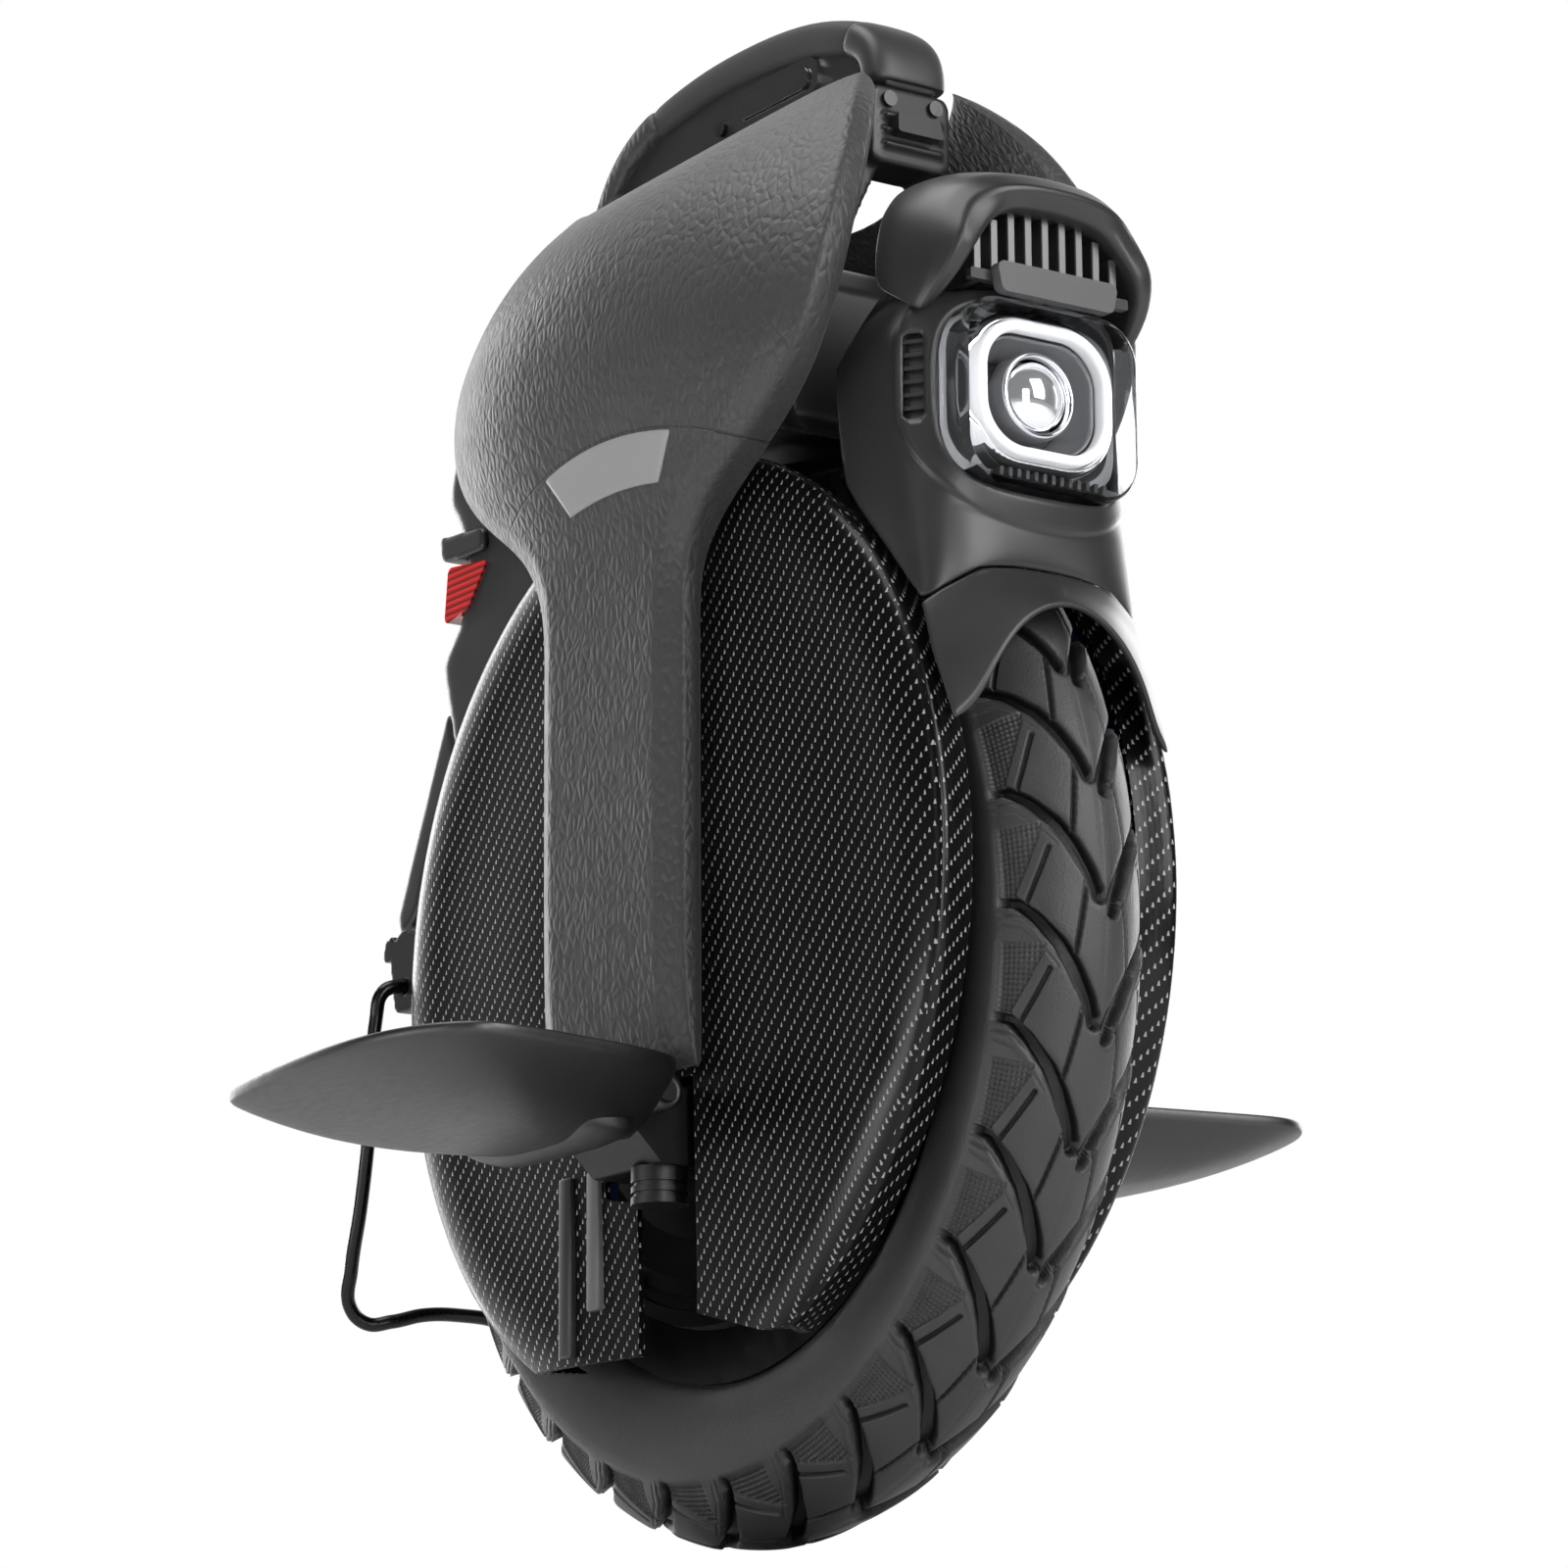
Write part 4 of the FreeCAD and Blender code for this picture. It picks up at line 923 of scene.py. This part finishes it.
# Half rows from the hood's rear edge, over its front edge, to the lining behind its mouth.
HOOD_ROWS = [
    [(150, 0, 505), (150, -18, 505), (149, -32, 503), (147.5, -42, 497), (146.5, -48.5, 487),
     (146, -51, 474), (146, -51.5, 465), (146.5, -50.8, 459)],
    [(152, 0, 505.4), (152, -18, 505.4), (151, -32.2, 503.6), (149.5, -42.4, 497.6),
     (148.5, -49, 487.4), (148, -51.6, 474), (148, -52.1, 463.5), (148.6, -51.4, 456.5)],
    [(170, 0, 505.2), (170, -18, 504.7), (169, -32, 502), (168, -42.6, 495.5), (167, -49.2, 485),
     (166, -52.2, 471), (164.5, -52.4, 458), (162.5, -51.2, 447.8)],
    [(188, 0, 499.2), (187.5, -18, 498.6), (185, -32, 495.4), (182, -41, 489.2),
     (183.5, -46.6, 478.6), (184, -49.6, 467), (178, -50.8, 453.6), (168.5, -50.2, 444)],
    [(197, 0, 491.4), (196.4, -18, 490.8), (193.4, -30.4, 488.4), (189.4, -38, 484),
     (191.4, -42.4, 475.4), (193.4, -45.4, 466.6), (185.4, -48.4, 453), (171, -49.4, 442.6)],
    [(189.4, 0, 483.6), (189.8, -17, 483), (191.4, -25, 480.2), (192.6, -31, 475),
     (192.8, -36, 468), (192.6, -40, 461.6), (184, -42.6, 451.8), (170.6, -45.4, 443.6)],
    [(158, 0, 486), (158, -17, 485.4), (158, -26, 482.4), (158, -33, 477), (158, -38.6, 469.4),
     (158, -42, 461.8), (158.6, -44.8, 453.4), (159.4, -46.6, 447.4)],
]


def hood():
    sheet("hood_skin", [full_row(row) for row in HOOD_ROWS], 1.8, "body_plastic", "hood",
          ((0, 0.3), (3, 0.6), (4, 0.9), (5, 0.8)))


# Half rows from the fender's top line down to the edge of its arch.
FENDER_ROWS = [
    [(181.9, 0, 346.4), (182.1, -14, 346), (182.3, -29.8, 343.8), (177.9, -45.2, 334.4),
     (174.9, -50.3, 330.4), (173.4, -51.8, 328.6)],
    [(184.2, 0, 344.6), (184.5, -14, 344), (184.6, -29.8, 341), (180, -45, 331),
     (177, -50.4, 326.6), (175.4, -52, 324.4)],
    [(188, 0, 341), (188.4, -14, 339.6), (188.2, -29, 334), (184.6, -43.4, 322), (182, -49.8, 314),
     (179.8, -52.2, 310)],
    [(193.6, 0, 336.4), (193.8, -13.6, 334), (193.6, -27.4, 326), (191.6, -39, 312.6),
     (188.6, -46.6, 301), (186, -51.6, 296)],
    [(197.6, 0, 331.8), (197.6, -13, 328.2), (197.4, -25.4, 318.4), (196.4, -35, 303),
     (193.6, -41.6, 287.6), (190.4, -49.8, 281.8)],
    [(195.2, 0, 330.2), (195.2, -12.6, 326.8), (195, -24.6, 317.2), (194, -34, 302.4),
     (191.6, -40.4, 287.4), (188.8, -48.6, 281.8)],
]


def fender():
    sheet("fender_skin", [full_row(row) for row in FENDER_ROWS], 1.8, "body_plastic",
          "front_fender", ((0, 0.7), (4, 0.9)))


def fins():
    """Upright cooling fins behind the hood's mouth, with eased front edges."""
    for index in range(9):
        y = 8.0 * (index - 4)
        top = 486.5 - 0.0125 * y * y
        sections = [[(x, y - wide, 454), (x, y - wide, top), (x, y + wide, top),
                     (x, y + wide, 454)] for x, wide in ((153, 1.7), (184.2, 1.7), (184.8, 1.4))]
        fin = skin("cooling_fin_%d" % index, sections, "sink_metal", CHASSIS, 0)
        bake_flat(fin)
        stands_for(fin, "heat_sink")
    back = [[(x, -37, 454), (x, -37, 474), (x, 37, 474), (x, 37, 454)] for x in (152.2, 155)]
    wall = skin("cooling_back", back, "sink_metal", CHASSIS, 0)
    bake_flat(wall)
    stands_for(wall, "heat_sink")


# ---- head lamp ----------------------------------------------------------------
def ring(name, profile, half, corner, material, node, steps=24):
    """Closed ring round the lamp's middle; the profile's points are (x, how far inside)."""
    half_y, half_z = half
    count = 4 * steps
    verts = []
    for x, inset in profile:
        round_off = max(corner - inset, 0.5)
        for index in range(count):
            quarter, step = divmod(index, steps)
            angle = math.radians(90 * quarter + 90 * step / (steps - 1))
            cy = (half_y - inset - round_off) * (1 if quarter in (0, 3) else -1)
            cz = (half_z - inset - round_off) * (1 if quarter in (0, 1) else -1)
            verts.append(Vector((x, cy + round_off * math.cos(angle),
                                 LAMP_Z + cz + round_off * math.sin(angle))) * MM)
    faces = []
    rows = len(profile)
    for row in range(rows):
        for index in range(count):
            after = (index + 1) % count
            below = (row + 1) % rows
            faces.append((row * count + index, row * count + after, below * count + after,
                          below * count + index))
    obj = new_object(name, verts, faces, material, CHASSIS)
    subdivide(obj, 1)
    bake(obj)
    stands_for(obj, node)


def lamp():
    outer = (35.2, 30.8)
    ring("lamp_surround", [(173, 0), (177, 0.1), (179.4, 0.8), (181.6, 3.2), (180.6, 3.5),
                           (173, 3.5)], outer, 25, "lamp_chrome", "lamp_reflector")
    ring("lamp_ring", [(176, 3.6), (182.8, 3.8), (183.5, 4.4), (183.5, 7.8), (182.8, 8.4),
                       (176, 8.6)], outer, 25, "light_ring", "lamp_reflector")
    ring("lamp_bowl", [(182, 8.7), (176, 9.6), (168, 12.6), (163, 16), (158, 16), (158, 8.7)],
         outer, 25, "bowl_chrome", "lamp_reflector")
    bezel = (17.4, 17.4)
    ring("lens_rim", [(163, 0), (176, 0), (178.6, 0.6), (179.4, 1.7), (178.4, 3.0), (172, 3.6),
                      (163, 3.8)], bezel, 17.39, "lamp_chrome", "lens_bezel", 16)
    ring("lens_seat", [(164, 3.9), (175.6, 3.9), (177, 4.4), (175.6, 5.2), (164, 5.4)], bezel,
         17.39, "lamp_chrome", "lens_bezel", 16)


# ---- softened shells ----------------------------------------------------------
def soften_shells():
    for node, voxel, passes in (("body_shell", 2.0, 6), ("rear_mudguard", 1.6, 6),
                                ("tail_hood", 1.2, 6), ("handle_frame", 1.5, 8),
                                ("front_bracket", 1.1, 4), ("stand_bracket", 1.0, 3)):
        softened(node, voxel, passes)


# ---- camera, floor and light --------------------------------------------------
def camera():
    """The photograph's viewpoint: low, in front and to the right, looking slightly up."""
    azimuth, elevation, roll = [math.radians(a) for a in (55.31, -13.49, 0.38)]
    target = Vector((9.45, 0, 300.23)) * MM
    distance = 2241.5 * MM
    back = Vector((math.sin(azimuth) * math.cos(elevation),
                   -math.cos(azimuth) * math.cos(elevation), math.sin(elevation)))
    right = Vector((0, 0, 1)).cross(back).normalized()
    up = back.cross(right)
    turned_right = right * math.cos(roll) - up * math.sin(roll)
    turned_up = right * math.sin(roll) + up * math.cos(roll)
    data = bpy.data.cameras.new("camera")
    data.sensor_width = 36.0
    data.lens = 130.4775
    data.clip_end = 50.0
    obj = add("camera", data)
    matrix = Matrix.Identity(4)
    for column, axis in enumerate((turned_right, turned_up, back)):
        for row in range(3):
            matrix[row][column] = axis[row]
    matrix.translation = target + back * distance
    obj.matrix_world = matrix
    bpy.context.scene.camera = obj


def floor():
    """Pale floor that is clear from below, because the viewpoint lies under its level."""
    m = Nodes("floor_pale", (0.86, 0.86, 0.86), 0.8)
    m.colour(m.noise(3.0), (0.84, 0.84, 0.84), (0.88, 0.88, 0.88))
    geometry = m.tree.nodes.new("ShaderNodeNewGeometry")
    through = m.tree.nodes.new("ShaderNodeBsdfTransparent")
    mix = m.tree.nodes.new("ShaderNodeMixShader")
    output = m.tree.nodes["Material Output"]
    m.link(geometry.outputs["Backfacing"], mix.inputs["Fac"])
    m.link(m.bsdf.outputs[0], mix.inputs[1])
    m.link(through.outputs[0], mix.inputs[2])
    m.link(mix.outputs[0], output.inputs["Surface"])
    mesh = bpy.data.meshes.new("floor")
    reach = 12.0
    corners = [(-reach, -reach, 0), (reach, -reach, 0), (reach, reach, 0), (-reach, reach, 0)]
    mesh.from_pydata(corners, [], [(0, 1, 2, 3)])
    mesh.materials.append(m.mat)
    obj = add("floor", mesh)
    obj.location.z = -0.0005


def softbox(name, place, size, power, aim=(0.0, 0.0, 0.3)):
    data = bpy.data.lights.new(name, "AREA")
    data.shape = "RECTANGLE"
    data.size, data.size_y = size
    data.energy = power
    obj = add(name, data)
    obj.location = place
    obj.visible_camera = False
    obj.rotation_euler = (Vector(aim) - Vector(place)).to_track_quat("-Z", "Y").to_euler()


def studio():
    world = bpy.data.worlds.new("studio")
    world.use_nodes = True
    tree = world.node_tree
    tree.nodes.clear()
    output = tree.nodes.new("ShaderNodeOutputWorld")
    seen = tree.nodes.new("ShaderNodeBackground")
    seen.inputs["Color"].default_value = (1.0, 1.0, 1.0, 1)
    seen.inputs["Strength"].default_value = 1.0
    lit = tree.nodes.new("ShaderNodeBackground")
    lit.inputs["Color"].default_value = (1.0, 1.0, 1.0, 1)
    coords = tree.nodes.new("ShaderNodeTexCoord")
    facing = tree.nodes.new("ShaderNodeVectorMath")
    facing.operation = "DOT_PRODUCT"
    facing.inputs[1].default_value = (-0.82, 0.57, 0.0)
    tree.links.new(coords.outputs["Generated"], facing.inputs[0])
    fall = tree.nodes.new("ShaderNodeMapRange")
    for name, number in (("From Min", 0.35), ("From Max", 0.95), ("To Min", 0.04), ("To Max", 1.3)):
        fall.inputs[name].default_value = number
    tree.links.new(facing.outputs["Value"], fall.inputs["Value"])
    tree.links.new(fall.outputs[0], lit.inputs["Strength"])
    ray = tree.nodes.new("ShaderNodeLightPath")
    mix = tree.nodes.new("ShaderNodeMixShader")
    tree.links.new(ray.outputs["Is Camera Ray"], mix.inputs["Fac"])
    tree.links.new(lit.outputs[0], mix.inputs[1])
    tree.links.new(seen.outputs[0], mix.inputs[2])
    tree.links.new(mix.outputs[0], output.inputs["Surface"])
    bpy.context.scene.world = world
    softbox("key_front", (2.0, 0.6, 1.3), (1.0, 1.6), 32)
    softbox("top", (-0.2, -0.7, 2.1), (1.8, 1.2), 26)
    softbox("side_fill", (0.7, -2.3, 0.5), (0.6, 1.8), 3)
    softbox("front_fill", (2.3, -0.6, 0.6), (0.5, 1.2), 16)
    softbox("low_fill", (-0.4, -1.6, 0.15), (1.2, 0.2), 5, (0.0, -0.1, 0.25))
    softbox("rear_strip", (-2.3, -0.05, 0.75), (0.4, 1.8), 18)
    softbox("far_fill", (-0.6, 2.2, 1.0), (1.4, 1.4), 26)


paint_frame()
soften_shells()
nose()
hood()
fender()
fins()
lamp()
tyre()
for make in (leg_pad, pedal, drain_ribs):
    for side in ("right", "left"):
        make(side)
stand()
handle()
camera()
floor()
studio()
bpy.context.scene.view_settings.view_transform = "Standard"
